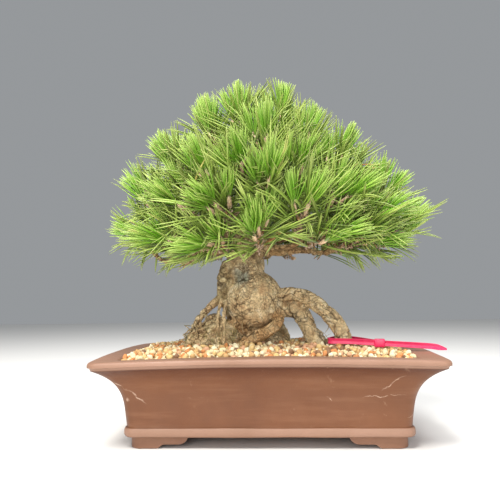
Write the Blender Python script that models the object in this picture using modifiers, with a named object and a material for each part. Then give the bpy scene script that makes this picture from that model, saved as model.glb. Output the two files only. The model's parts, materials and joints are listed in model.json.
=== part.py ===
"""A globe-rooted pine bonsai in a rectangular stoneware pot, with gravel, soil and a plant label.

Metres, +Z up. The origin is the middle of the pot's plan at the height of the table, +X runs along the pot's
long side and -Y is the front.
"""

import math

import bmesh
import bpy
from mathutils import Vector, noise

# ---------------------------------------------------------------- driving dimensions
GAP = 0.0003  # clearance left between pieces that touch
SEAT_GAP = 0.0006  # clearance round the wood, which is an uneven surface

POT_LENGTH = 0.309  # over the lip, along X
POT_WIDTH = 0.226  # over the lip, along Y
POT_HEIGHT = 0.081  # table to the lip, at the middle of a side
LIP_WIDTH = 0.0225
LIP_EDGE = 0.0085  # height of the lip's outer edge
LIP_ROUND = 0.0022
LIP_DROOP = 0.003  # how much lower the lip's corners are
LIP_OVERHANG = 0.0257  # lip past the base band
BAND_HEIGHT = 0.0082
BAND_BULGE = 0.002
LEAN_SHARE = 0.20  # share of the wall's outward run that is a straight lean; the rest flares under the lip
FLARE_POWER = 4.1
WALL = 0.0075  # at the floor
FLOOR = 0.008
OUTER_CORNER = 0.010
INNER_CORNER = 0.007
FOOT_HEIGHT = 0.0106
FOOT_INSET = 0.0055
FOOT_WIDTH = 0.014
FOOT_SOLE = 0.0235  # flat length on the table, from the corner
FOOT_STEP = 0.0037
FOOT_STEP_RUN = 0.0077
FOOT_LEDGE = 0.0433
FOOT_LENGTH = 0.0525
ARCH_RELIEF = 0.0002  # the arches cut just into the floor's underside

DRAIN_SPACING = 0.124
DRAIN_RADIUS = 0.011
MESH_CELLS = 6
MESH_CELL = 0.0056
MESH_BAR = 0.0012
CLIP_WIRE = 0.0015
CLIP_FOOT = 0.008  # length bent outwards under the floor
POCKET_MARGIN = 0.0015  # room in the soil round a drain mesh and its clip

SOIL_TOP = POT_HEIGHT - 0.011
GRAVEL_EDGE = POT_HEIGHT - 0.0025  # gravel height along the wall
GRAVEL_MOUND = POT_HEIGHT + 0.0035  # gravel height at the trunk
GRAVEL_STEPS = (1.0, 0.85, 0.68, 0.50, 0.34, 0.18)  # rings of the mound, as shares of the pot's plan
MOUND_X, MOUND_Y = -0.006, -0.002

DRAWN_LIP = 0.081  # the tree's and the label's places below are for a lip at this height
TREE_LIFT = POT_HEIGHT - DRAWN_LIP
NECK_JOINT = 0.172  # the wood is made in bodies, which meet at these heights
CROWN_JOINT = 0.208
SPLIT_X = -0.020  # and between them the trunk is in a left and a right half
NECK_SPARE = 0.004  # the lowest body is made this much too tall and then cut level

SLIVER = 0.0004  # edges of a tuft shorter than this close up

LABEL_HEIGHT = 0.0054
LABEL_THICKNESS = 0.0011
LABEL_TIP_SHARE = 0.30  # the tip's height as a share of the strap's
LOCK_SIZE = (0.010, 0.0062, 0.0080)
LOCK_AT = (0.1075, -0.0445, 0.0876)
LOCK_TURN = -14.0  # degrees about Z

HEART = Vector((-0.004, 0.0, 0.222))  # the shoots point away from here
SHOOT_LIFT = 0.42  # and turn up by this much
CANDLE_SHARE = 0.30  # how far a twig's tip reaches into its tuft
TWIG_BASE = 1.05  # a twig straightens this share of the reach behind its tuft's middle
TWIG_LEAST = 0.012  # a twig starts at least this far from its tuft
TWIG_SAG = 0.10  # how far its bend hangs, as a share of its length
TWIG_RADII = (0.0030, 0.0022, 0.0019, 0.0018, 0.0012)  # at most, from its start to its tip
DETOUR_COST = 1.6  # how dear a start that lies off the tuft's line is

# ---------------------------------------------------------------- the tree's lines: x, y, z, radius
LIMBS = {
    "trunk": [
        (-0.0235, 0.000, 0.147, 0.0200), (-0.0225, 0.000, 0.166, 0.0215), (-0.023, 0.000, 0.180, 0.0203),
        (-0.020, 0.001, 0.196, 0.0180), (-0.014, 0.003, 0.216, 0.0130), (-0.007, 0.005, 0.240, 0.0105),
        (0.000, 0.005, 0.268, 0.0080), (0.003, 0.007, 0.294, 0.0058), (-0.003, 0.014, 0.318, 0.0035),
    ],
    "old_bark_strand": [
        (-0.036, -0.012, 0.176, 0.0090), (-0.0425, -0.014, 0.162, 0.0076), (-0.0465, -0.013, 0.148, 0.0066),
        (-0.0468, -0.013, 0.136, 0.0058), (-0.0445, -0.014, 0.123, 0.0045),
    ],
    "root_outer_right": [
        (0.006, -0.001, 0.133, 0.0100), (0.020, -0.003, 0.136, 0.0078), (0.034, -0.006, 0.1355, 0.0078),
        (0.044, -0.009, 0.131, 0.0085), (0.055, -0.013, 0.122, 0.0090), (0.065, -0.017, 0.112, 0.0092),
        (0.0735, -0.020, 0.101, 0.0092), (0.0765, -0.022, 0.091, 0.0092), (0.079, -0.023, 0.078, 0.0090),
        (0.080, -0.024, 0.062, 0.0055),
    ],
    "root_inner_right": [
        (0.006, 0.002, 0.118, 0.0095), (0.018, 0.000, 0.1185, 0.0080), (0.030, -0.002, 0.117, 0.0080),
        (0.0375, -0.006, 0.109, 0.0080), (0.042, -0.011, 0.100, 0.0080), (0.0465, -0.016, 0.090, 0.0083),
        (0.051, -0.020, 0.079, 0.0085), (0.053, -0.021, 0.064, 0.0050),
    ],
    "root_inner_right_strand": [
        (0.012, 0.002, 0.1225, 0.0055), (0.030, 0.000, 0.1235, 0.0055), (0.039, -0.004, 0.1190, 0.0052),
        (0.0435, -0.008, 0.110, 0.0046), (0.048, -0.012, 0.098, 0.0046), (0.055, -0.015, 0.086, 0.0046),
        (0.060, -0.017, 0.068, 0.0034),
    ],
    "root_under_globe": [
        (0.013, -0.014, 0.113, 0.0060), (0.009, -0.021, 0.104, 0.0062), (-0.003, -0.026, 0.097, 0.0066),
        (-0.015, -0.028, 0.092, 0.0064), (-0.026, -0.027, 0.084, 0.0060), (-0.034, -0.026, 0.068, 0.0040),
    ],
    "root_left": [
        (-0.043, -0.008, 0.137, 0.0060), (-0.051, -0.010, 0.131, 0.0050), (-0.060, -0.012, 0.1235, 0.0044),
        (-0.0705, -0.015, 0.112, 0.0042), (-0.0770, -0.018, 0.099, 0.0040), (-0.0790, -0.020, 0.086, 0.0040),
        (-0.0795, -0.021, 0.068, 0.0028),
    ],
    "fine_root_a": [
        (-0.046, -0.019, 0.133, 0.0026), (-0.0495, -0.025, 0.118, 0.0021), (-0.050, -0.028, 0.102, 0.0021),
        (-0.050, -0.029, 0.080, 0.0021),
    ],
    "fine_root_b": [
        (-0.041, -0.021, 0.131, 0.0026), (-0.0435, -0.027, 0.117, 0.0021), (-0.043, -0.030, 0.102, 0.0021),
        (-0.044, -0.031, 0.080, 0.0021),
    ],
    "root_back_left": [
        (-0.030, 0.014, 0.112, 0.0110), (-0.044, 0.024, 0.101, 0.0085), (-0.056, 0.032, 0.088, 0.0070),
        (-0.064, 0.036, 0.068, 0.0045),
    ],
    "root_back_right": [
        (0.000, 0.016, 0.112, 0.0110), (0.010, 0.029, 0.101, 0.0085), (0.019, 0.039, 0.088, 0.0070),
        (0.026, 0.045, 0.068, 0.0045),
    ],
    "root_under": [
        (-0.020, -0.002, 0.110, 0.0150), (-0.022, -0.004, 0.092, 0.0120), (-0.024, -0.004, 0.072, 0.0080),
        (-0.024, -0.004, 0.056, 0.0050),
    ],
    "branch_low_left": [
        (-0.030, -0.002, 0.186, 0.0080), (-0.044, -0.006, 0.184, 0.0052), (-0.057, -0.008, 0.182, 0.0042),
        (-0.070, -0.008, 0.182, 0.0038), (-0.076, -0.008, 0.178, 0.0036), (-0.080, -0.008, 0.172, 0.0034),
        (-0.091, -0.009, 0.172, 0.0034), (-0.098, -0.009, 0.175, 0.0032), (-0.106, -0.008, 0.172, 0.0034),
        (-0.118, -0.003, 0.178, 0.0028), (-0.126, 0.002, 0.188, 0.0023),
    ],
    "deadwood_loop": [
        (-0.052, -0.010, 0.184, 0.0024), (-0.063, -0.013, 0.191, 0.0026), (-0.072, -0.013, 0.193, 0.0028),
        (-0.076, -0.011, 0.186, 0.0026),
    ],
    "branch_low_right": [
        (-0.012, -0.002, 0.184, 0.0080), (0.002, -0.008, 0.180, 0.0052), (0.015, -0.012, 0.179, 0.0042),
        (0.029, -0.014, 0.181, 0.0040), (0.043, -0.015, 0.181, 0.0038), (0.051, -0.016, 0.178, 0.0036),
        (0.062, -0.017, 0.178, 0.0036), (0.073, -0.017, 0.183, 0.0034), (0.080, -0.015, 0.190, 0.0032),
        (0.090, -0.011, 0.196, 0.0028), (0.106, -0.008, 0.199, 0.0026), (0.122, -0.008, 0.202, 0.0023),
    ],
    "branch_mid_right": [
        (-0.012, -0.008, 0.186, 0.0060), (0.010, -0.020, 0.184, 0.0036), (0.024, -0.024, 0.184, 0.0033),
        (0.036, -0.028, 0.189, 0.0030), (0.049, -0.031, 0.194, 0.0028), (0.060, -0.036, 0.199, 0.0024),
    ],
    "branch_up_right": [
        (-0.010, -0.004, 0.194, 0.0060), (0.014, -0.014, 0.192, 0.0034), (0.026, -0.020, 0.196, 0.0031),
        (0.037, -0.025, 0.202, 0.0028), (0.052, -0.030, 0.212, 0.0023),
    ],
    "twig_fork_left": [
        (-0.024, -0.012, 0.184, 0.0040), (-0.027, -0.031, 0.188, 0.0027), (-0.034, -0.044, 0.193, 0.0023),
        (-0.044, -0.052, 0.196, 0.0020),
    ],
    "twig_fork_right": [
        (-0.014, -0.014, 0.184, 0.0040), (-0.005, -0.033, 0.187, 0.0027), (-0.002, -0.047, 0.193, 0.0024),
        (-0.002, -0.058, 0.198, 0.0021),
    ],
    "branch_front_left": [
        (-0.028, -0.006, 0.198, 0.0060), (-0.044, -0.020, 0.203, 0.0036), (-0.062, -0.030, 0.204, 0.0031),
        (-0.082, -0.034, 0.202, 0.0024),
    ],
    "branch_back_left": [
        (-0.028, 0.006, 0.194, 0.0060), (-0.042, 0.028, 0.201, 0.0038), (-0.062, 0.046, 0.203, 0.0030),
        (-0.078, 0.054, 0.201, 0.0024),
    ],
    "branch_back_right": [
        (-0.010, 0.004, 0.196, 0.0060), (0.022, 0.028, 0.202, 0.0038), (0.050, 0.044, 0.204, 0.0030),
        (0.074, 0.052, 0.201, 0.0024),
    ],
    "branch_mid_left": [
        (-0.014, 0.003, 0.216, 0.0060), (-0.042, 0.004, 0.228, 0.0040), (-0.068, 0.004, 0.238, 0.0034),
        (-0.090, 0.004, 0.250, 0.0026), (-0.100, 0.004, 0.262, 0.0022),
    ],
    "branch_mid_right_back": [
        (-0.008, 0.005, 0.230, 0.0055), (0.026, 0.006, 0.240, 0.0038), (0.056, 0.006, 0.246, 0.0032),
        (0.084, 0.006, 0.250, 0.0026), (0.102, 0.008, 0.254, 0.0022),
    ],
    "branch_front": [
        (-0.010, 0.000, 0.222, 0.0050), (-0.006, -0.024, 0.228, 0.0034), (-0.004, -0.046, 0.230, 0.0028),
        (0.000, -0.060, 0.232, 0.0023),
    ],
    "branch_back": [
        (-0.008, 0.008, 0.232, 0.0050), (-0.006, 0.030, 0.238, 0.0034), (-0.004, 0.050, 0.238, 0.0028),
        (-0.002, 0.064, 0.236, 0.0023),
    ],
    "branch_high_left": [
        (0.000, 0.005, 0.262, 0.0045), (-0.024, 0.002, 0.280, 0.0032), (-0.046, 0.000, 0.294, 0.0024),
    ],
    "branch_high_right": [
        (0.002, 0.005, 0.258, 0.0045), (0.026, 0.000, 0.272, 0.0032), (0.044, -0.004, 0.286, 0.0024),
    ],
}
HIGH_LIMBS = (
    "branch_mid_left", "branch_mid_right_back", "branch_front", "branch_back", "branch_high_left",
    "branch_high_right",
)
GLOBE_AT = (-0.0147, 0.0, 0.1298)
GLOBE_RADIUS = 0.0330
# Lumps of matted fine roots: middle, half sizes.
ROOT_MATS = {
    "left": ((-0.051, -0.014, 0.084), (0.031, 0.016, 0.029)),
    "left_corner": ((-0.070, -0.017, 0.084), (0.0105, 0.011, 0.020)),
    "under_globe": ((-0.004, 0.004, 0.082), (0.030, 0.024, 0.018)),
    "right": ((0.0525, -0.010, 0.083), (0.0085, 0.009, 0.018)),
}
# The middles of the needle tufts, by tier: reach along the shoot and half width, then the places.
TUFT_TIERS = {
    "apex": (0.031, 0.0290, [
        (0.002, -0.038, 0.300), (-0.026, -0.006, 0.336), (0.019, 0.000, 0.340), (-0.058, -0.010, 0.318),
        (0.052, -0.006, 0.310), (-0.006, 0.040, 0.332), (-0.044, 0.034, 0.302), (0.044, 0.040, 0.296),
    ]),
    "upper": (0.031, 0.0300, [
        (-0.105, -0.012, 0.284), (-0.090, 0.030, 0.292), (-0.061, -0.050, 0.262), (-0.024, -0.066, 0.264),
        (0.038, -0.062, 0.260), (0.084, -0.018, 0.284), (0.116, 0.014, 0.268), (0.006, -0.086, 0.242),
        (-0.056, 0.064, 0.256), (-0.010, 0.080, 0.262), (0.044, 0.072, 0.254), (0.084, 0.040, 0.262),
    ]),
    "middle": (0.030, 0.0290, [
        (-0.133, -0.012, 0.244), (-0.094, -0.050, 0.228), (-0.048, -0.082, 0.220), (0.042, -0.086, 0.214),
        (0.084, -0.058, 0.228), (0.136, -0.010, 0.240), (0.116, -0.048, 0.210), (-0.104, 0.042, 0.236),
        (-0.058, 0.082, 0.216), (0.000, 0.092, 0.220), (0.056, 0.084, 0.212), (0.106, 0.048, 0.222),
    ]),
    "low": (0.030, 0.0240, [
        (-0.146, -0.006, 0.206), (-0.106, -0.048, 0.190), (-0.056, -0.076, 0.184), (-0.006, -0.092, 0.192),
        (0.068, -0.074, 0.188), (0.108, -0.034, 0.188), (0.148, -0.004, 0.204), (-0.118, 0.040, 0.196),
        (-0.082, 0.076, 0.190), (-0.024, 0.094, 0.190), (0.034, 0.092, 0.188), (0.084, 0.070, 0.188),
        (0.126, 0.036, 0.196),
    ]),
}
# The label's strap, from its pointed tip through the lock, round the root and back to the lock.
LABEL_ROUTE = [
    (0.1670, -0.0550, 0.0822), (0.1560, -0.0535, 0.0846), (0.1400, -0.0510, 0.0858),
    (0.1220, -0.0480, 0.0868), (0.1080, -0.0455, 0.0876), (0.0960, -0.0420, 0.0882),
    (0.0820, -0.0375, 0.0888), (0.0700, -0.0350, 0.0890), (0.0630, -0.0335, 0.0890),
    (0.0605, -0.0305, 0.0892), (0.0620, -0.0250, 0.0894), (0.0665, -0.0165, 0.0897),
    (0.0740, -0.0108, 0.0898), (0.0840, -0.0112, 0.0896), (0.0920, -0.0190, 0.0890),
    (0.0990, -0.0300, 0.0883), (0.1050, -0.0405, 0.0878),
]
LABEL_TAIL_POINTS = 1  # the strap narrows to its tip over these

FLARE_SHARES = (0.3, 0.5, 0.65, 0.76, 0.85, 0.92, 0.97, 1.0)  # heights of the wall's rings
BODY_X = POT_LENGTH / 2 - LIP_OVERHANG
BODY_Y = POT_WIDTH / 2 - LIP_OVERHANG
FLOOR_TOP = FOOT_HEIGHT + FLOOR
CAVITY_X = BODY_X - BAND_BULGE - WALL
CAVITY_Y = BODY_Y - BAND_BULGE - WALL
OPENING_X = POT_LENGTH / 2 - LIP_WIDTH
OPENING_Y = POT_WIDTH / 2 - LIP_WIDTH
CORNER_STEPS = 4
SIDE_STEPS = (5, 3)


# ---------------------------------------------------------------- helpers
def clear_scene():
    for old in list(bpy.data.objects):
        bpy.data.objects.remove(old, do_unlink=True)


def new_collection(name, hidden=False):
    made = bpy.data.collections.new(name)
    bpy.context.scene.collection.children.link(made)
    made.hide_render = hidden
    return made


def material(name, colour, roughness, metallic=0.0):
    made = bpy.data.materials.new(name)
    made.use_nodes = True
    shader = made.node_tree.nodes["Principled BSDF"]
    shader.inputs["Base Color"].default_value = (*colour, 1.0)
    shader.inputs["Roughness"].default_value = roughness
    shader.inputs["Metallic"].default_value = metallic
    return made


def object_from(name, mesh, collection, finish=None):
    made = bpy.data.objects.new(name, mesh)
    collection.objects.link(made)
    if finish:
        mesh.materials.clear()
        mesh.materials.append(finish)
    if collection.hide_render:
        made.hide_render = True
        made.display_type = "WIRE"
    return made


def adopt_primitive(name, collection):
    """Takes the primitive that was just added into a collection of cutters."""
    made = bpy.context.object
    made.name = name
    for holder in list(made.users_collection):
        holder.objects.unlink(made)
    collection.objects.link(made)
    made.hide_render = True
    made.display_type = "WIRE"
    return made


def mesh_from_bmesh(name, shape):
    bmesh.ops.recalc_face_normals(shape, faces=shape.faces)
    mesh = bpy.data.meshes.new(name)
    shape.to_mesh(mesh)
    shape.free()
    return mesh


def evaluated_mesh(obj, weld=True):
    """The object's mesh as its modifiers leave it; welding closes a tube's loose caps."""
    bpy.context.view_layer.update()
    graph = bpy.context.evaluated_depsgraph_get()
    mesh = bpy.data.meshes.new_from_object(obj.evaluated_get(graph))
    if not weld:
        return mesh
    shape = bmesh.new()
    shape.from_mesh(mesh)
    bmesh.ops.remove_doubles(shape, verts=shape.verts, dist=0.000001)
    shape.to_mesh(mesh)
    shape.free()
    return mesh


def bake(obj, weld=True):
    """Replaces the object's mesh by its evaluated one and takes its modifiers off."""
    finishes = list(obj.data.materials)
    mesh = evaluated_mesh(obj, weld)
    obj.modifiers.clear()
    obj.data = mesh
    mesh.materials.clear()
    for finish in finishes:
        mesh.materials.append(finish)


def mesh_of_curve(name, curve):
    """The closed mesh that a curve makes where it stands."""
    drawn = bpy.data.objects.new(name + "_curve", curve)
    bpy.context.scene.collection.objects.link(drawn)
    mesh = evaluated_mesh(drawn)
    bpy.data.objects.remove(drawn, do_unlink=True)
    return mesh


def cut(obj, cutter, solver="EXACT"):
    """Takes the cutter off the object. The wood's many-faced clearance needs the manifold solver."""
    step = obj.modifiers.new("cut_" + cutter.name, "BOOLEAN")
    step.operation = "DIFFERENCE"
    step.object = cutter
    step.solver = solver


def lifted(point):
    """A place of the tree or the label, moved with the height of the pot's lip."""
    return (point[0], point[1], point[2] + TREE_LIFT, *point[3:])


def smooth_points(points, steps):
    """A Catmull-Rom curve through the points; each holds any number of values."""
    ends = [points[0]] + list(points) + [points[-1]]
    found = []
    for i in range(len(points) - 1):
        four = ends[i:i + 4]
        for k in range(steps):
            t = k / steps
            weights = (
                -0.5 * t + t * t - 0.5 * t ** 3,
                1 - 2.5 * t * t + 1.5 * t ** 3,
                0.5 * t + 2 * t * t - 1.5 * t ** 3,
                -0.5 * t * t + 0.5 * t ** 3,
            )
            values = range(len(points[0]))
            found.append(tuple(sum(w * p[j] for w, p in zip(weights, four)) for j in values))
    found.append(tuple(points[-1]))
    return found


def tube(name, points, sides_level=2, extra=0.0):
    """A closed tube through x, y, z, radius points, as a mesh; extra widens and lengthens it."""
    first, last = points[0], points[-1]
    back = (Vector(first[:3]) - Vector(points[1][:3])).normalized() * extra
    onward = (Vector(last[:3]) - Vector(points[-2][:3])).normalized() * extra
    first = (*(Vector(first[:3]) + back), first[3])
    last = (*(Vector(last[:3]) + onward), last[3])
    points = [first, *points[1:-1], last]
    curve = bpy.data.curves.new(name, "CURVE")
    curve.dimensions = "3D"
    curve.bevel_depth = 1.0
    curve.bevel_resolution = sides_level
    curve.use_fill_caps = True
    line = curve.splines.new("POLY")
    line.points.add(len(points) - 1)
    for spot, (x, y, z, radius) in zip(line.points, points):
        spot.co = (x, y, z, 1.0)
        spot.radius = radius + extra
    return mesh_of_curve(name, curve)


def plate(name, outline, half_depth, collection):
    """A flat outline in local XY, thickened both ways along local Z."""
    curve = bpy.data.curves.new(name, "CURVE")
    curve.dimensions = "2D"
    curve.fill_mode = "BOTH"
    curve.extrude = half_depth
    line = curve.splines.new("POLY")
    line.points.add(len(outline) - 1)
    line.use_cyclic_u = True
    for spot, (x, y) in zip(line.points, outline):
        spot.co = (x, y, 0.0, 1.0)
    return object_from(name, mesh_of_curve(name, curve), collection)


def rounded_ring(half_x, half_y, radius, z, droop=0.0, centre=(0.0, 0.0)):
    """A level rounded rectangle; droop lowers it towards its corners along a parabola."""
    ring = []
    for corner, (sx, sy) in enumerate(((1, 1), (-1, 1), (-1, -1), (1, -1))):
        cx, cy = sx * (half_x - radius), sy * (half_y - radius)
        for i in range(CORNER_STEPS + 1):
            turn = math.radians(90 * corner + 90 * i / CORNER_STEPS)
            ring.append((cx + radius * math.cos(turn), cy + radius * math.sin(turn)))
        along = SIDE_STEPS[corner % 2]
        last = ring[-1]
        flip_x, flip_y = (-1, 1) if corner % 2 == 0 else (1, -1)
        for i in range(1, along + 1):
            share = i / (along + 1)
            x, y = last[0] * (1 - share + flip_x * share), last[1] * (1 - share + flip_y * share)
            ring.append((x, y))
    return [
        Vector((x + centre[0], y + centre[1], z - droop * (x / half_x * y / half_y) ** 2)) for x, y in ring
    ]


def loft(name, rings):
    """Joins rings of equally many points, and closes the first and the last."""
    shape = bmesh.new()
    rows = [[shape.verts.new(point) for point in ring] for ring in rings]
    for low, high in zip(rows, rows[1:]):
        for i in range(len(low)):
            k = (i + 1) % len(low)
            shape.faces.new((low[i], low[k], high[k], high[i]))
    shape.faces.new(rows[0])
    shape.faces.new(rows[-1])
    return mesh_from_bmesh(name, shape)


def keep_main_body(obj):
    """Takes off the slivers that a cut leaves behind a branch, also those that meet the rest at an edge."""
    shape = bmesh.new()
    shape.from_mesh(obj.data)
    left, groups = set(shape.faces), []
    while left:
        group, front = [], [left.pop()]
        while front:
            face = front.pop()
            group.append(face)
            for edge in face.edges:
                if len(edge.link_faces) != 2:
                    continue
                for other in edge.link_faces:
                    if other in left:
                        left.discard(other)
                        front.append(other)
        groups.append(group)
    groups.sort(key=len, reverse=True)
    for group in groups[1:]:
        bmesh.ops.delete(shape, geom=group, context="FACES")
    loose = [spot for spot in shape.verts if not spot.link_faces]
    bmesh.ops.delete(shape, geom=loose, context="VERTS")
    shape.to_mesh(obj.data)
    shape.free()


# ---------------------------------------------------------------- the pot
def pot_rings():
    """From the floor's underside, round the foot, up the outside, over the lip and down to the floor."""
    wall_x, wall_y = BODY_X - BAND_BULGE, BODY_Y - BAND_BULGE
    foot_x, foot_y = BODY_X - FOOT_INSET, BODY_Y - FOOT_INSET
    rim_x, rim_y = POT_LENGTH / 2, POT_WIDTH / 2
    lip_under = POT_HEIGHT - LIP_EDGE
    rings = [
        rounded_ring(foot_x - FOOT_WIDTH, foot_y - FOOT_WIDTH, INNER_CORNER, FOOT_HEIGHT),
        rounded_ring(foot_x - FOOT_WIDTH, foot_y - FOOT_WIDTH, INNER_CORNER, 0.0),
        rounded_ring(foot_x, foot_y, OUTER_CORNER, 0.0),
        rounded_ring(foot_x, foot_y, OUTER_CORNER, FOOT_HEIGHT),
    ]
    for i in range(5):
        turn = math.radians(-90 + 45 * i)
        bulge = BAND_BULGE * max(math.cos(turn), 0.0) ** 0.7
        z = FOOT_HEIGHT + BAND_HEIGHT / 2 * (1 + math.sin(turn))
        rings.append(rounded_ring(wall_x + bulge, wall_y + bulge, OUTER_CORNER, z))
    band_top = FOOT_HEIGHT + BAND_HEIGHT
    for share in FLARE_SHARES:
        run = LEAN_SHARE * share + (1 - LEAN_SHARE) * share ** FLARE_POWER
        out = (rim_x - wall_x - LIP_ROUND) * run
        z = band_top + (lip_under - band_top) * share
        rings.append(rounded_ring(wall_x + out, wall_y + out, OUTER_CORNER, z, LIP_DROOP * share ** 2))
    for inset, z in (
        (0.0, lip_under + LIP_ROUND),
        (0.0, POT_HEIGHT - LIP_ROUND),
        (LIP_ROUND, POT_HEIGHT),
    ):
        rings.append(rounded_ring(rim_x - inset, rim_y - inset, OUTER_CORNER, z, LIP_DROOP))
    for inset, z in ((LIP_ROUND, POT_HEIGHT), (0.0, POT_HEIGHT - LIP_ROUND)):
        rings.append(rounded_ring(OPENING_X + inset, OPENING_Y + inset, INNER_CORNER, z, LIP_DROOP))
    rings.append(rounded_ring(CAVITY_X, CAVITY_Y, INNER_CORNER, FLOOR_TOP))
    return rings


def arch_outline(foot_end):
    """The space between two feet, seen from the side: a step, a ledge and a curve up to the floor."""
    half = [(foot_end - FOOT_SOLE, -FOOT_HEIGHT)]
    for i in range(5):
        share = i / 4
        rise = FOOT_STEP * (1 - math.cos(math.pi * share)) / 2
        half.append((foot_end - FOOT_SOLE - FOOT_STEP_RUN * share, rise))
    rise = FOOT_HEIGHT + ARCH_RELIEF - FOOT_STEP
    for i in range(5):
        turn = math.radians(90 * i / 4)
        half.append((
            foot_end - FOOT_LEDGE - (FOOT_LENGTH - FOOT_LEDGE) * math.sin(turn),
            FOOT_STEP + rise * (1 - math.cos(turn)),
        ))
    return half + [(-x, z) for x, z in reversed(half)]


def make_pot(parts, cutters):
    finish = material("unglazed_stoneware", (0.34, 0.19, 0.12), 0.62)
    pot = object_from("pot", loft("pot", pot_rings()), parts, finish)
    upright = math.radians(90)
    for name, foot_end, reach, turn in (
        ("arch_front", BODY_X - FOOT_INSET, BODY_Y, 0.0),
        ("arch_side", BODY_Y - FOOT_INSET, BODY_X, upright),
    ):
        arch = plate(name, arch_outline(foot_end), reach, cutters)
        arch.rotation_euler = (upright, 0.0, turn)
        cut(pot, arch)
    for side in (-1, 1):
        bpy.ops.mesh.primitive_cylinder_add(vertices=20, radius=DRAIN_RADIUS, depth=4 * FLOOR)
        hole = adopt_primitive("drain_hole_" + side_name(side), cutters)
        hole.location = (side * DRAIN_SPACING / 2, 0.0, FOOT_HEIGHT + FLOOR / 2)
        cut(pot, hole)
    bake(pot)
    return pot


def side_name(side):
    return "left" if side < 0 else "right"


def make_drain_mesh(side, parts):
    """A square of plastic mesh that lies over a drain hole."""
    finish = material("mesh_plastic_" + side_name(side), (0.05, 0.06, 0.055), 0.55)
    shape = bmesh.new()
    half = MESH_CELLS * MESH_CELL / 2
    bmesh.ops.create_grid(shape, x_segments=MESH_CELLS, y_segments=MESH_CELLS, size=half)
    made = object_from("drain_mesh_" + side_name(side), mesh_from_bmesh("drain_mesh", shape), parts, finish)
    bars = made.modifiers.new("bars", "WIREFRAME")
    bars.thickness = MESH_BAR
    bars.use_boundary = True
    bars.use_even_offset = True
    made.location = (side * DRAIN_SPACING / 2, 0.0, FLOOR_TOP + GAP + MESH_BAR / 2)


def make_mesh_clip(side, parts):
    """A bent wire: over the mesh, down through the hole and out under the floor."""
    finish = material("clip_aluminium_" + side_name(side), (0.72, 0.72, 0.70), 0.35, 1.0)
    over = FLOOR_TOP + 2 * GAP + MESH_BAR + CLIP_WIRE / 2
    under = FOOT_HEIGHT - GAP - CLIP_WIRE / 2
    leg = 1.5 * MESH_CELL  # the legs pass through the middle of a mesh cell
    bend = CLIP_WIRE
    half = [
        (leg + CLIP_FOOT, under), (leg + bend, under), (leg, under + bend), (leg, over - bend),
        (leg - bend, over),
    ]
    route = half + [(-x, z) for x, z in reversed(half)]
    middle = side * DRAIN_SPACING / 2
    name = "mesh_clip_" + side_name(side)
    wire = tube(name, [(middle + x, MESH_CELL / 2, z, CLIP_WIRE / 2) for x, z in route])
    object_from(name, wire, parts, finish)


# ---------------------------------------------------------------- soil and gravel
def make_soil(parts, cutters, wood_room):
    """The root ball's soil: it fills the pot under the gravel, with room for the meshes and clips."""
    finish = material("potting_soil", (0.09, 0.055, 0.03), 0.95)
    share = (SOIL_TOP - FLOOR_TOP) / (POT_HEIGHT - FLOOR_TOP)
    top_x = CAVITY_X + (OPENING_X - CAVITY_X) * share
    top_y = CAVITY_Y + (OPENING_Y - CAVITY_Y) * share
    low, high = FLOOR_TOP + GAP, SOIL_TOP
    rings = [
        rounded_ring(CAVITY_X - GAP, CAVITY_Y - GAP, INNER_CORNER, low),
        rounded_ring(top_x - GAP, top_y - GAP, INNER_CORNER, high),
    ]
    soil = object_from("soil", loft("soil", rings), parts, finish)
    pocket_half = MESH_CELLS * MESH_CELL / 2 + MESH_BAR + POCKET_MARGIN
    pocket_top = FLOOR_TOP + 2 * GAP + MESH_BAR + CLIP_WIRE + POCKET_MARGIN
    for side in (-1, 1):
        bpy.ops.mesh.primitive_cube_add(size=1.0)
        pocket = adopt_primitive("mesh_pocket_" + side_name(side), cutters)
        pocket.scale = (2 * pocket_half, 2 * pocket_half, 2 * (pocket_top - FOOT_HEIGHT))
        pocket.location = (side * DRAIN_SPACING / 2, 0.0, FOOT_HEIGHT)
        cut(soil, pocket)
    cut(soil, wood_room, "MANIFOLD")
    bake(soil)
    keep_main_body(soil)


def make_top_dressing(parts, wood_room):
    """The gravel layer: level along the wall, mounded up at the trunk."""
    finish = material("mixed_gravel", (0.72, 0.55, 0.34), 0.85)
    share = (SOIL_TOP - FLOOR_TOP) / (POT_HEIGHT - FLOOR_TOP)
    edge_x = CAVITY_X + (OPENING_X - CAVITY_X) * share - GAP
    edge_y = CAVITY_Y + (OPENING_Y - CAVITY_Y) * share - GAP
    rings = [rounded_ring(edge_x, edge_y, INNER_CORNER, SOIL_TOP + GAP)]
    for step in GRAVEL_STEPS:
        rise = 0.5 + 0.5 * math.cos(math.pi * step)
        z = GRAVEL_EDGE + (GRAVEL_MOUND - GRAVEL_EDGE) * rise
        centre = ((1 - step) * MOUND_X, (1 - step) * MOUND_Y)
        droop = LIP_DROOP if step == 1.0 else 0.0
        rings.append(rounded_ring(edge_x * step, edge_y * step, INNER_CORNER * step, z, droop, centre))
    gravel = object_from("top_dressing", loft("top_dressing", rings), parts, finish)
    cut(gravel, wood_room, "MANIFOLD")
    bake(gravel)
    keep_main_body(gravel)


# ---------------------------------------------------------------- the tree
def tuft_places():
    """Each tuft's middle, direction, reach and half width."""
    found = []
    heart = Vector(lifted(HEART))
    for reach, spread, middles in TUFT_TIERS.values():
        for middle in middles:
            middle = Vector(lifted(middle))
            outward = (middle - heart).normalized() + Vector((0.0, 0.0, SHOOT_LIFT))
            found.append((middle, outward.normalized(), reach, spread))
    return found


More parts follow.
